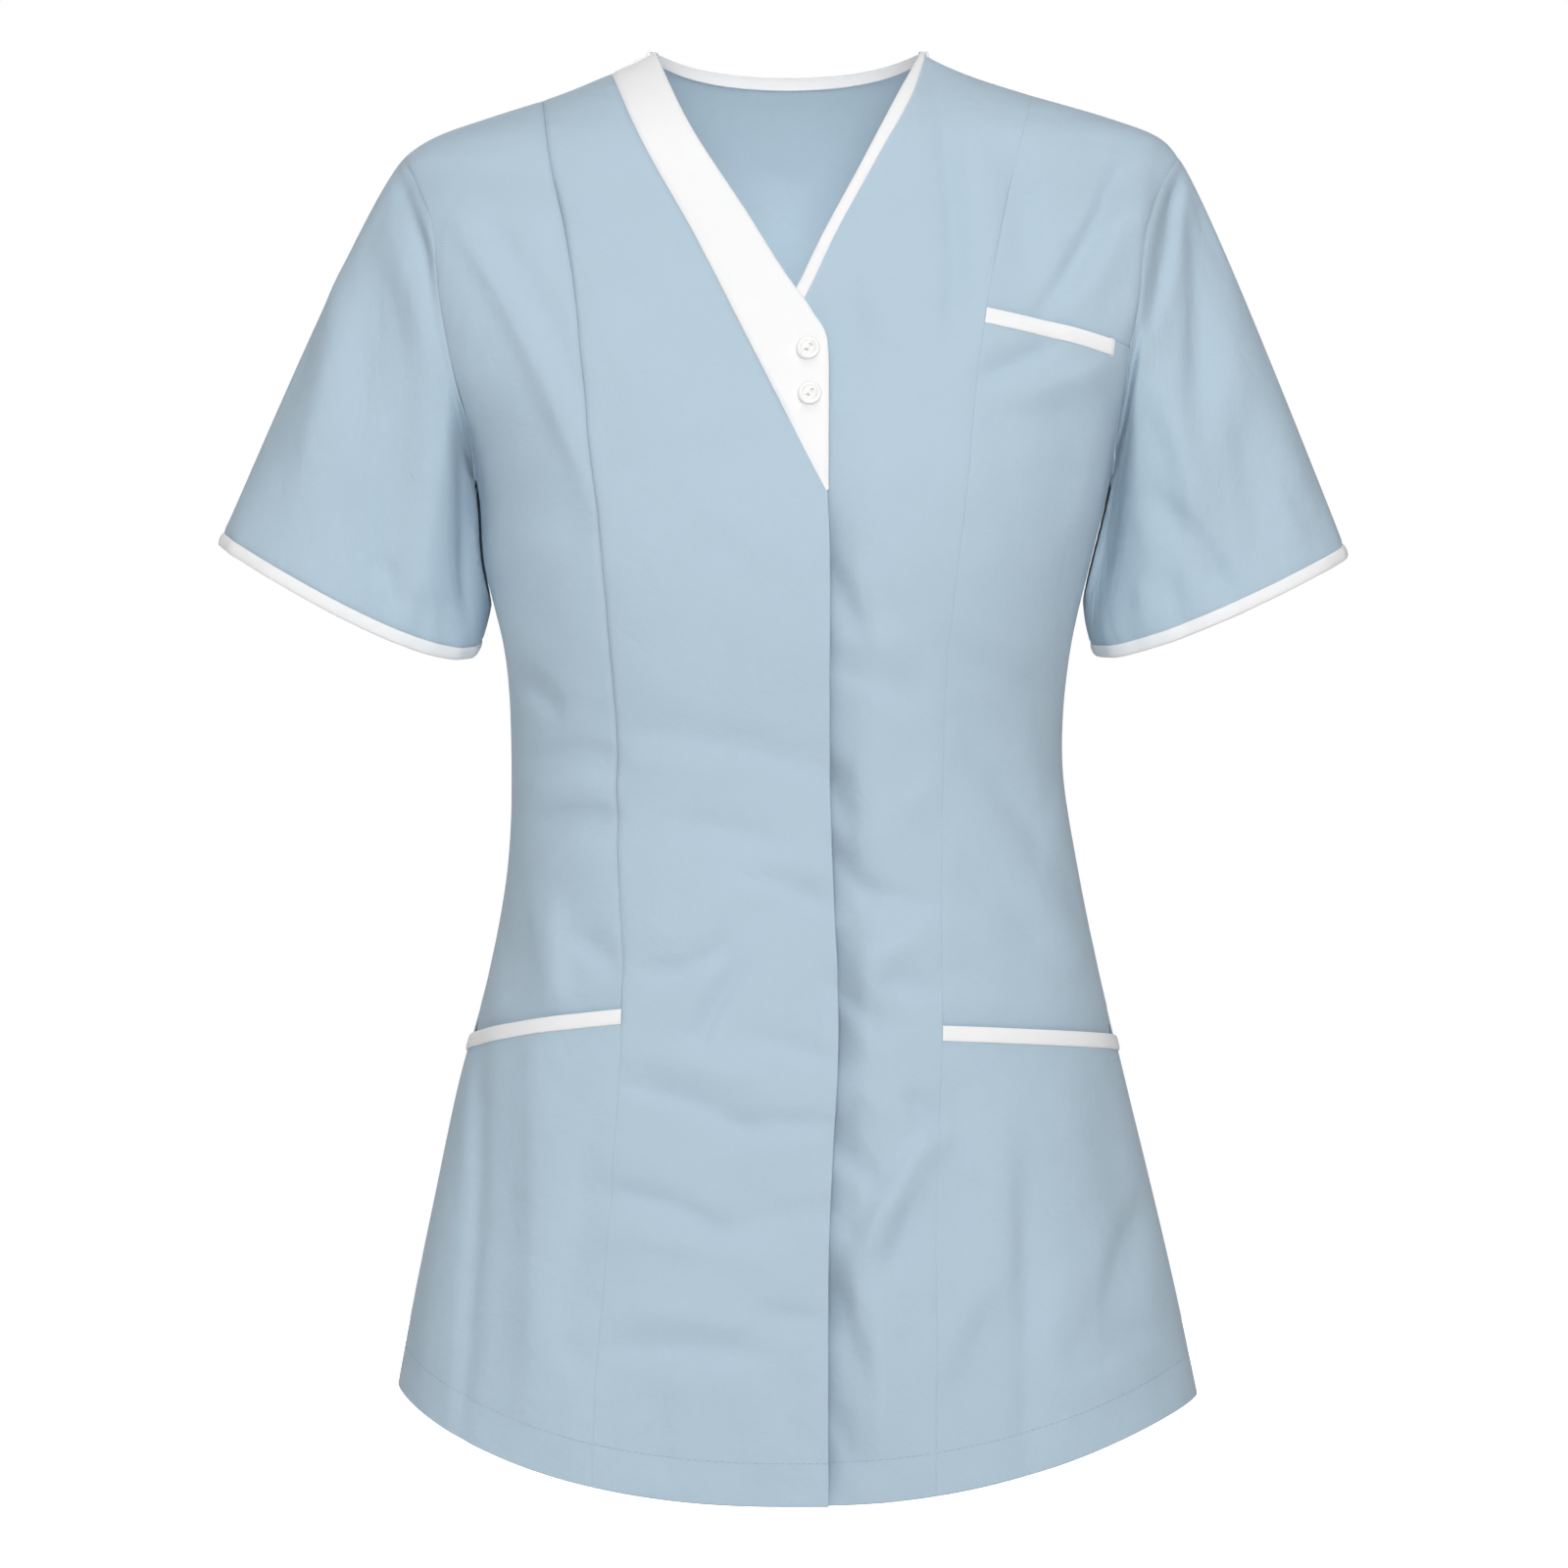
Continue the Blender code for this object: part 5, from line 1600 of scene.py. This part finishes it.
def make_sleeves(blue, white):
    """Both sleeves with their cuff bindings."""
    for row, (side, _) in enumerate(SIDES):
        rings, along, turn = sleeve_rings(row)
        moved = worn_sleeve(rings, turn, row)
        normals = ring_normals(moved)
        share = edge_marks(CUFF_BINDING_WIDTH, FINE_CELL)[:, None, None] * CUFF_BINDING_WIDTH
        grid = moved[-1:] + along * (SEWN_GAP + share * (1 - SEWN_GAP / CUFF_BINDING_WIDTH))
        out = np.repeat(normals[-1:], len(grid), axis=0)
        lift = CUFF_PROUD - CUFF_CROWN + crowned(grid, CUFF_CROWN, CUFF_CROWN_POWER)
        edging = binding(f"{side}_cuff_binding", grid, lift, BINDING_WALL, white, True, out)
        sewn = {"bottom": True, "top": True}
        piece, _, _ = cloth_piece(f"{side}_sleeve", moved, 0, CLOTH_WALL, blue, sewn, True, normals)
        cut(piece, moved, closed=True)


def hem_stitches(stitches, grid, outer, normals):
    """Adds the stitched line of the hem on one piece to the list of stitched lines."""
    up = lengths_along(grid)
    line = []
    for column, at in zip(np.moveaxis(outer, 1, 0), up.T):
        line.append([np.interp(HEM_WIDTH, at, column[:, k]) for k in range(3)])
    row = np.abs(up[:, 0] - HEM_WIDTH).argmin()
    stitches.append((np.array(line), normals[row]))


def tube_faces(rings, sides, first=0):
    """Faces of a tube of rings whose points are counted from first, with both ends closed."""
    ring = first + np.arange(rings * sides).reshape(rings, sides)
    after = np.roll(ring, -1, axis=1)
    faces = np.stack([ring[:-1], ring[1:], after[1:], after[:-1]], axis=-1).reshape(-1, 4)
    return faces.tolist() + [ring[0].tolist(), ring[-1, ::-1].tolist()]


def make_threads(name, tubes, material):
    """One piece of many short tubes, each given as rings of points."""
    faces = []
    total = 0
    for tube in tubes:
        faces += tube_faces(*tube.shape[:2], total)
        total += tube.shape[0] * tube.shape[1]
    points = np.concatenate([tube.reshape(-1, 3) for tube in tubes])
    piece = mesh_object(name, points, faces, material)
    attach(piece, BODY)


def make_hem_stitching(lines, material):
    """Rows of short raised threads along lines of points."""
    pitch, length, radius = HEM_STITCH
    turns = 2 * math.pi * np.arange(STITCH_SIDES) / STITCH_SIDES
    tubes = []
    for line, out in lines:
        run = lengths_along(line)
        for middle in np.arange(pitch / 2, run[-1] - pitch / 2, pitch):
            at = middle + STITCH_SECTION["along"] * length / 2
            centre = np.stack([np.interp(at, run, line[:, k]) for k in range(3)], axis=-1)
            up = np.array([np.interp(middle, run, out[:, k]) for k in range(3)])
            ahead = centre[-1] - centre[0]
            ahead /= np.linalg.norm(ahead)
            side = np.cross(ahead, up)
            centre = centre + up * (STITCH_SECTION["rise"] * radius)[:, None]
            round_about = np.cos(turns)[:, None] * side + np.sin(turns)[:, None] * up
            thick = (STITCH_SECTION["thickness"] * radius)[:, None, None]
            tubes.append(centre[:, None] + round_about[None] * thick)
    make_threads("hem_stitching", tubes, material)


def round_threads(lines, radius):
    """Round threads along lines of points, each with the directions that point out from the cloth."""
    turns = 2 * math.pi * np.arange(STITCH_SIDES) / STITCH_SIDES
    tubes = []
    for line, out in lines:
        ahead = np.gradient(line, axis=0)
        ahead /= np.linalg.norm(ahead, axis=1, keepdims=True)
        side = np.cross(ahead, out)
        side /= np.linalg.norm(side, axis=1, keepdims=True)
        up = np.cross(side, ahead)
        around = np.cos(turns)[None, :, None] * side[:, None] + np.sin(turns)[None, :, None] * up[:, None]
        tubes.append(line[:, None] + around * radius)
    return tubes


def button_face(radius_share, turn):
    """The button's face: a raised rim, a dished middle and two holes."""
    radius = radius_share * BUTTON_RADIUS
    height = np.interp(radius, BUTTON_FACE["radius"], BUTTON_FACE["height"])
    x = radius * np.cos(turn)
    y = radius * np.sin(turn)
    for end in (-1, 1):
        hole_x = end * BUTTON_HOLE_SPACING / 2 * math.cos(BUTTON_HOLE_SLANT)
        hole_y = end * BUTTON_HOLE_SPACING / 2 * math.sin(BUTTON_HOLE_SLANT)
        away = np.hypot(x - hole_x, y - hole_y)
        height = height - BUTTON_HOLE_DEPTH * (1 - ramp(away, *BUTTON_HOLE_EDGE))
    return x, y, height


def button_points(foot, right, up, outward):
    """Rings of points from the middle of a button's face out over its rim and down its side."""
    shares = np.linspace(BUTTON_CENTRE_SHARE, 1, BUTTON_RINGS)[:, None]
    turns = 2 * math.pi * np.arange(BUTTON_TURNS)[None] / BUTTON_TURNS
    x, y, height = button_face(shares, turns)
    side_radius = BUTTON_SIDE["radius"][:, None] + 0 * turns
    x = np.concatenate([x, side_radius * np.cos(turns)])
    y = np.concatenate([y, side_radius * np.sin(turns)])
    height = np.concatenate([height, BUTTON_SIDE["height"][:, None] + 0 * turns])
    return foot + x[..., None] * right + y[..., None] * up + height[..., None] * outward


def button_strands(foot, right, up, outward):
    """The two strands of thread between a button's holes."""
    slant = right * math.cos(BUTTON_HOLE_SLANT) + up * math.sin(BUTTON_HOLE_SLANT)
    aside = np.cross(outward, slant)
    part = np.linspace(-1, 1, BUTTON_THREAD_POINTS)[:, None]
    arch = BUTTON_THREAD_TOP - BUTTON_THREAD_DROP * np.abs(part) ** BUTTON_THREAD_DROP_POWER
    lines = []
    for strand in (-0.5, 0.5):
        line = foot + slant * part * BUTTON_THREAD_REACH + outward * arch
        line = line + aside * strand * BUTTON_THREAD_SPREAD
        lines.append((line, np.repeat(outward[None], len(line), axis=0)))
    return round_threads(lines, BUTTON_THREAD_RADIUS)


def make_buttons(resin, thread):
    """Both buttons on the band, each with its thread."""
    for name, (place_x, place_height) in BUTTON_PLACES.items():
        centre = at_front(np.float64(place_x), np.float64(place_height))
        outward = form_normals(centre)
        right = np.cross([0, 0, 1], outward)
        right /= np.linalg.norm(right)
        up = np.cross(outward, right)
        foot = centre + outward * (LAYER_GAP + BAND_PROUD)
        points = button_points(foot, right, up, outward)
        piece = mesh_object(name + "_resin", points.reshape(-1, 3), tube_faces(*points.shape[:2]), resin)
        piece.data.set_sharp_from_angle(angle=BUTTON_SHARP)
        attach(piece, BODY)
        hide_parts(name)
        make_threads(name + "_thread", button_strands(foot, right, up, outward), thread)


def linear(colour):
    """A colour as seen, turned into the even scale that shaders take."""
    return tuple(((value + 0.055) / 1.055) ** 2.4 for value in colour)


def node(tree, kind, inputs=None, **settings):
    """A new node with its settings, and its inputs set to values or joined to other nodes."""
    made = tree.nodes.new("ShaderNode" + kind)
    for name, value in settings.items():
        setattr(made, name, value)
    for name, value in (inputs or {}).items():
        if isinstance(value, bpy.types.NodeSocket):
            tree.links.new(value, made.inputs[name])
        else:
            made.inputs[name].default_value = value
    return made


def maths(tree, operation, *values):
    """The result of a sum on sockets and numbers."""
    return node(tree, "Math", dict(enumerate(values)), operation=operation).outputs[0]


def effect_group(name, inputs, outputs):
    """A shader node group with named number inputs and outputs, and its two end nodes."""
    group = bpy.data.node_groups.new(name, "ShaderNodeTree")
    for label, value in inputs.items():
        socket = group.interface.new_socket(label, in_out="INPUT", socket_type="NodeSocketFloat")
        socket.default_value = value
    for label in outputs:
        group.interface.new_socket(label, in_out="OUTPUT", socket_type="NodeSocketFloat")
    return group, group.nodes.new("NodeGroupInput").outputs, group.nodes.new("NodeGroupOutput").inputs


def twill_weave():
    """Diagonal ribs crossed by single threads, with heights in millimetres."""
    group, given, result = effect_group("twill weave", {"Pitch": 0.7, "Relief": 0.02}, ("Height", "Shade"))
    lengths = node(group, "Attribute", attribute_name="cloth").outputs["Vector"]
    wander = node(group, "TexNoise", {"Vector": lengths, "Scale": 260.0, "Detail": 2.0}).outputs["Fac"]
    parts = node(group, "SeparateXYZ", {0: lengths}).outputs
    turns = maths(group, "DIVIDE", 2 * math.pi / MM, given["Pitch"])
    diagonal = maths(group, "ADD", parts[0], parts[1])
    phase = maths(group, "MULTIPLY_ADD", wander, WEAVE_WANDER, maths(group, "MULTIPLY", diagonal, turns))
    ribs = maths(group, "MULTIPLY_ADD", maths(group, "SINE", phase), 0.5, 0.5)
    fine = maths(group, "MULTIPLY", turns, 2.0)
    weft = maths(group, "SINE", maths(group, "MULTIPLY", parts[1], fine))
    warp = maths(group, "SINE", maths(group, "MULTIPLY", parts[0], fine))
    threads = maths(group, "MULTIPLY_ADD", maths(group, "MULTIPLY", weft, warp), WEAVE_CROSSING, ribs)
    group.links.new(maths(group, "MULTIPLY", threads, given["Relief"]), result["Height"])
    group.links.new(maths(group, "MULTIPLY_ADD", threads, *WEAVE_SHADE), result["Shade"])
    return group


def cloth_handling():
    """Slubs in the yarn, broad soft variation and the faint wrinkles of handled cloth."""
    inputs = {"Slub": 0.03, "Breadth": 0.03, "Wrinkle": 0.25}
    group, given, result = effect_group("cloth handling", inputs, ("Height", "Shade"))
    lengths = node(group, "Attribute", attribute_name="cloth").outputs["Vector"]
    stretched = node(group, "Mapping", {"Vector": lengths, "Scale": (240.0, 1300.0, 1.0)}).outputs[0]
    slub = node(group, "TexNoise", {"Vector": stretched, "Scale": 1.0, "Detail": 2.0}).outputs["Fac"]
    broad = node(group, "TexNoise", {"Vector": lengths, "Scale": 14.0, "Detail": 2.0}).outputs["Fac"]
    wrinkle = node(group, "TexNoise", {"Vector": lengths, "Scale": 42.0, "Detail": 3.0, "Roughness": 0.5,
                                       "Distortion": 0.4}).outputs["Fac"]
    centred = [maths(group, "SUBTRACT", value, 0.5) for value in (slub, broad)]
    shade = maths(group, "MULTIPLY_ADD", centred[0], given["Slub"], 1.0)
    shade = maths(group, "MULTIPLY_ADD", centred[1], given["Breadth"], shade)
    group.links.new(shade, result["Shade"])
    group.links.new(maths(group, "MULTIPLY", wrinkle, given["Wrinkle"]), result["Height"])
    return group


def sewn_edge():
    """Painted shade in the seam itself, darkest at the sewn edge, and fine ripples that fade out beside
    it.
    """
    inputs = {"Painted Shade": 0.1, "Reach": 1.6, "Ripple": 0.12}
    group, given, result = effect_group("sewn edge", inputs, ("Height", "Shade"))
    distance = node(group, "Attribute", attribute_name="seam").outputs["Fac"]
    lengths = node(group, "Attribute", attribute_name="cloth").outputs["Vector"]
    shares = maths(group, "DIVIDE", distance, given["Reach"])
    near = maths(group, "EXPONENT", maths(group, "MULTIPLY", shares, -1.0))
    wide = maths(group, "EXPONENT", maths(group, "MULTIPLY", distance, -1 / RIPPLE_REACH))
    ripple = node(group, "TexNoise", {"Vector": lengths, "Scale": 260.0, "Detail": 1.0}).outputs["Fac"]
    # painted shade: the colour is darkened near the sewn edge, where shade falls in the seam's dip
    painted_shade = maths(group, "MULTIPLY", near, given["Painted Shade"])
    group.links.new(maths(group, "SUBTRACT", 1.0, painted_shade), result["Shade"])
    height = maths(group, "MULTIPLY", maths(group, "MULTIPLY", ripple, wide), given["Ripple"])
    group.links.new(height, result["Height"])
    return group


def place_group(tree, group, values):
    """The outputs of a group placed in a material with its own values."""
    made = node(tree, "Group", node_tree=group)
    for name, value in values.items():
        made.inputs[name].default_value = value
    return made.outputs


def new_material(name):
    """A material, with its node tree and its shader."""
    material = bpy.data.materials.new(name)
    material.use_nodes = True
    return material, material.node_tree, material.node_tree.nodes["Principled BSDF"]


def set_surface(tree, shader, colour, shade, height):
    """Joins a colour times a shade, and a relief in millimetres, to a shader."""
    tint = node(tree, "VectorMath", {0: linear(colour), "Scale": shade}, operation="SCALE")
    tree.links.new(tint.outputs[0], shader.inputs["Base Color"])
    relief = node(tree, "Bump", {"Height": height, "Distance": MM, "Strength": 1.0})
    tree.links.new(relief.outputs[0], shader.inputs["Normal"])


def cloth_material(name, colour, effects, roughness, sheen):
    """Cloth whose shade is the product of its effects' shades, and its relief the sum of their heights."""
    material, tree, shader = new_material(name)
    placed = [place_group(tree, group, values) for group, values in effects]
    shade = placed[0]["Shade"]
    height = placed[0]["Height"]
    for effect in placed[1:]:
        shade = maths(tree, "MULTIPLY", shade, effect["Shade"])
        height = maths(tree, "ADD", height, effect["Height"])
    set_surface(tree, shader, colour, shade, height)
    shader.inputs["Roughness"].default_value = roughness
    shader.inputs["Sheen Weight"].default_value = sheen
    shader.inputs["Sheen Roughness"].default_value = 0.5
    shader.inputs["Specular IOR Level"].default_value = 0.25
    return material


def twisted_thread():
    """Turns of a sewing thread."""
    group, given, result = effect_group("twisted thread", {"Turns": 2600.0}, ("Height", "Shade"))
    place = node(group, "TexCoord").outputs["Object"]
    wave = node(group, "TexWave", {"Vector": place, "Scale": given["Turns"], "Distortion": 0.6},
                bands_direction="DIAGONAL").outputs["Fac"]
    group.links.new(maths(group, "MULTIPLY", wave, TWIST_RELIEF), result["Height"])
    group.links.new(maths(group, "MULTIPLY_ADD", wave, *TWIST_SHADE), result["Shade"])
    return group


def moulding_marks():
    """Faint clouding and hairline marks of a polished resin."""
    inputs = {"Cloud": 0.04, "Marks": 0.006}
    group, given, result = effect_group("moulding marks", inputs, ("Height", "Shade", "Roughness"))
    place = node(group, "TexCoord").outputs["Object"]
    cloud = node(group, "TexNoise", {"Vector": place, "Scale": 300.0, "Detail": 3.0}).outputs["Fac"]
    marks = node(group, "TexNoise", {"Vector": place, "Scale": 2200.0, "Detail": 2.0}).outputs["Fac"]
    shade = maths(group, "MULTIPLY_ADD", maths(group, "SUBTRACT", cloud, 0.5), given["Cloud"], 1.0)
    group.links.new(shade, result["Shade"])
    group.links.new(maths(group, "MULTIPLY", marks, given["Marks"]), result["Height"])
    group.links.new(maths(group, "MULTIPLY_ADD", marks, *RESIN_ROUGHNESS), result["Roughness"])
    return group


def resin_material():
    """Polished resin under a thin clear coat."""
    material, tree, shader = new_material("white_resin")
    marks = place_group(tree, moulding_marks(), {"Cloud": 0.05, "Marks": 0.006})
    set_surface(tree, shader, RESIN, marks["Shade"], marks["Height"])
    tree.links.new(marks["Roughness"], shader.inputs["Roughness"])
    shader.inputs["Coat Weight"].default_value = 0.25
    shader.inputs["Coat Roughness"].default_value = 0.12
    return material


def make_materials():
    weave = twill_weave()
    handling = cloth_handling()
    seams = sewn_edge()
    twist = twisted_thread()
    # the seams effect paints shade into every seam of the blue and the white cloth, with ripples beside it
    blue_effects = (
        (weave, {"Pitch": 0.72, "Relief": 0.035}),
        (handling, {"Slub": 0.07, "Breadth": 0.05, "Wrinkle": 1.3}),
        (seams, {"Painted Shade": 0.16, "Reach": 0.9, "Ripple": 0.2}),
    )
    white_effects = (
        (weave, {"Pitch": 0.6, "Relief": 0.02}),
        (handling, {"Slub": 0.02, "Breadth": 0.015, "Wrinkle": 0.1}),
        (seams, {"Painted Shade": 0.05, "Reach": 0.6, "Ripple": 0.08}),
    )
    thread_effects = ((twist, {"Turns": 2600.0}),)
    blue = cloth_material("light_blue_twill", BLUE_TWILL, blue_effects, roughness=0.86, sheen=0.12)
    white = cloth_material("white_twill", WHITE_TWILL, white_effects, roughness=0.82, sheen=0.05)
    blue_thread = cloth_material("blue_thread", BLUE_THREAD, thread_effects, roughness=0.6, sheen=0.1)
    white_thread = cloth_material("white_thread", WHITE_TWILL, thread_effects, roughness=0.55, sheen=0.05)
    return blue, white, blue_thread, white_thread, resin_material()


def make_floor():
    """A pale round floor that looks evenly lit from the camera."""
    mesh = bpy.data.meshes.new("floor")
    turns = 2 * math.pi * np.arange(FLOOR_TURNS) / FLOOR_TURNS
    ring = np.stack([np.cos(turns), np.sin(turns), 0 * turns], axis=-1) * FLOOR_RADIUS
    mesh.from_pydata((ring + [0, 0, FLOOR_HEIGHT]).tolist(), [], [list(range(FLOOR_TURNS))])
    floor = bpy.data.objects.new("floor", mesh)
    bpy.context.scene.collection.objects.link(floor)
    paper, tree, shader = new_material("pale_paper")
    shader.inputs["Base Color"].default_value = (*FLOOR_COLOUR, 1)
    shader.inputs["Roughness"].default_value = 0.95
    shader.inputs["Specular IOR Level"].default_value = 0.0
    shader.inputs["Emission Color"].default_value = (1, 1, 1, 1)
    seen = node(tree, "LightPath").outputs["Is Camera Ray"]
    glow = maths(tree, "MULTIPLY", seen, FLOOR_GLOW)
    tree.links.new(glow, shader.inputs["Emission Strength"])
    mesh.materials.append(paper)


def pointed_at(thing, target):
    """Turns a light or camera so that it looks at target."""
    away = thing.location - target
    thing.rotation_euler = away.to_track_quat("Z", "Y").to_euler()


def make_lights():
    """Soft lamps round the top, and an even fill from a white world."""
    world = bpy.data.worlds.new("studio")
    world.use_nodes = True
    tree = world.node_tree
    background = tree.nodes["Background"]
    seen = node(tree, "LightPath").outputs["Is Camera Ray"]
    strength = maths(tree, "MULTIPLY_ADD", seen, 1.0 - FILL_STRENGTH, FILL_STRENGTH)
    background.inputs["Color"].default_value = (1, 1, 1, 1)
    tree.links.new(strength, background.inputs["Strength"])
    bpy.context.scene.world = world
    for name, place, target, size, power in LIGHTS:
        light = bpy.data.lights.new(name, "AREA")
        light.shape = "DISK"
        light.size = size
        light.energy = power
        lamp = bpy.data.objects.new(name, light)
        lamp.location = place
        lamp.visible_camera = False
        bpy.context.scene.collection.objects.link(lamp)
        pointed_at(lamp, Vector(target))


def make_camera():
    """A camera level with the middle of the top, as far off as its view needs."""
    lens = bpy.data.cameras.new("camera")
    lens.sensor_width = SENSOR
    lens.lens = SENSOR / 2 / (VIEW_HALF_WIDTH / CAMERA_DISTANCE)
    lens.clip_end = CLIP_END
    camera = bpy.data.objects.new("camera", lens)
    camera.location = (VIEW_CENTRE[0], -CAMERA_DISTANCE, VIEW_CENTRE[1])
    camera.rotation_euler = (math.pi / 2, 0, 0)
    bpy.context.scene.collection.objects.link(camera)
    bpy.context.scene.camera = camera
    bpy.context.scene.view_settings.view_transform = "Standard"


def main():
    blue, white, blue_thread, white_thread, resin = make_materials()
    stitches = []
    make_neck_band(white)
    make_front_centres(blue, make_left_binding(white), stitches)
    make_front_sides(blue, white, white_thread, stitches)
    make_back(blue, make_back_binding(white), stitches)
    make_sleeves(blue, white)
    make_hem_stitching(stitches, blue_thread)
    make_buttons(resin, white_thread)
    make_floor()
    make_lights()
    make_camera()


main()
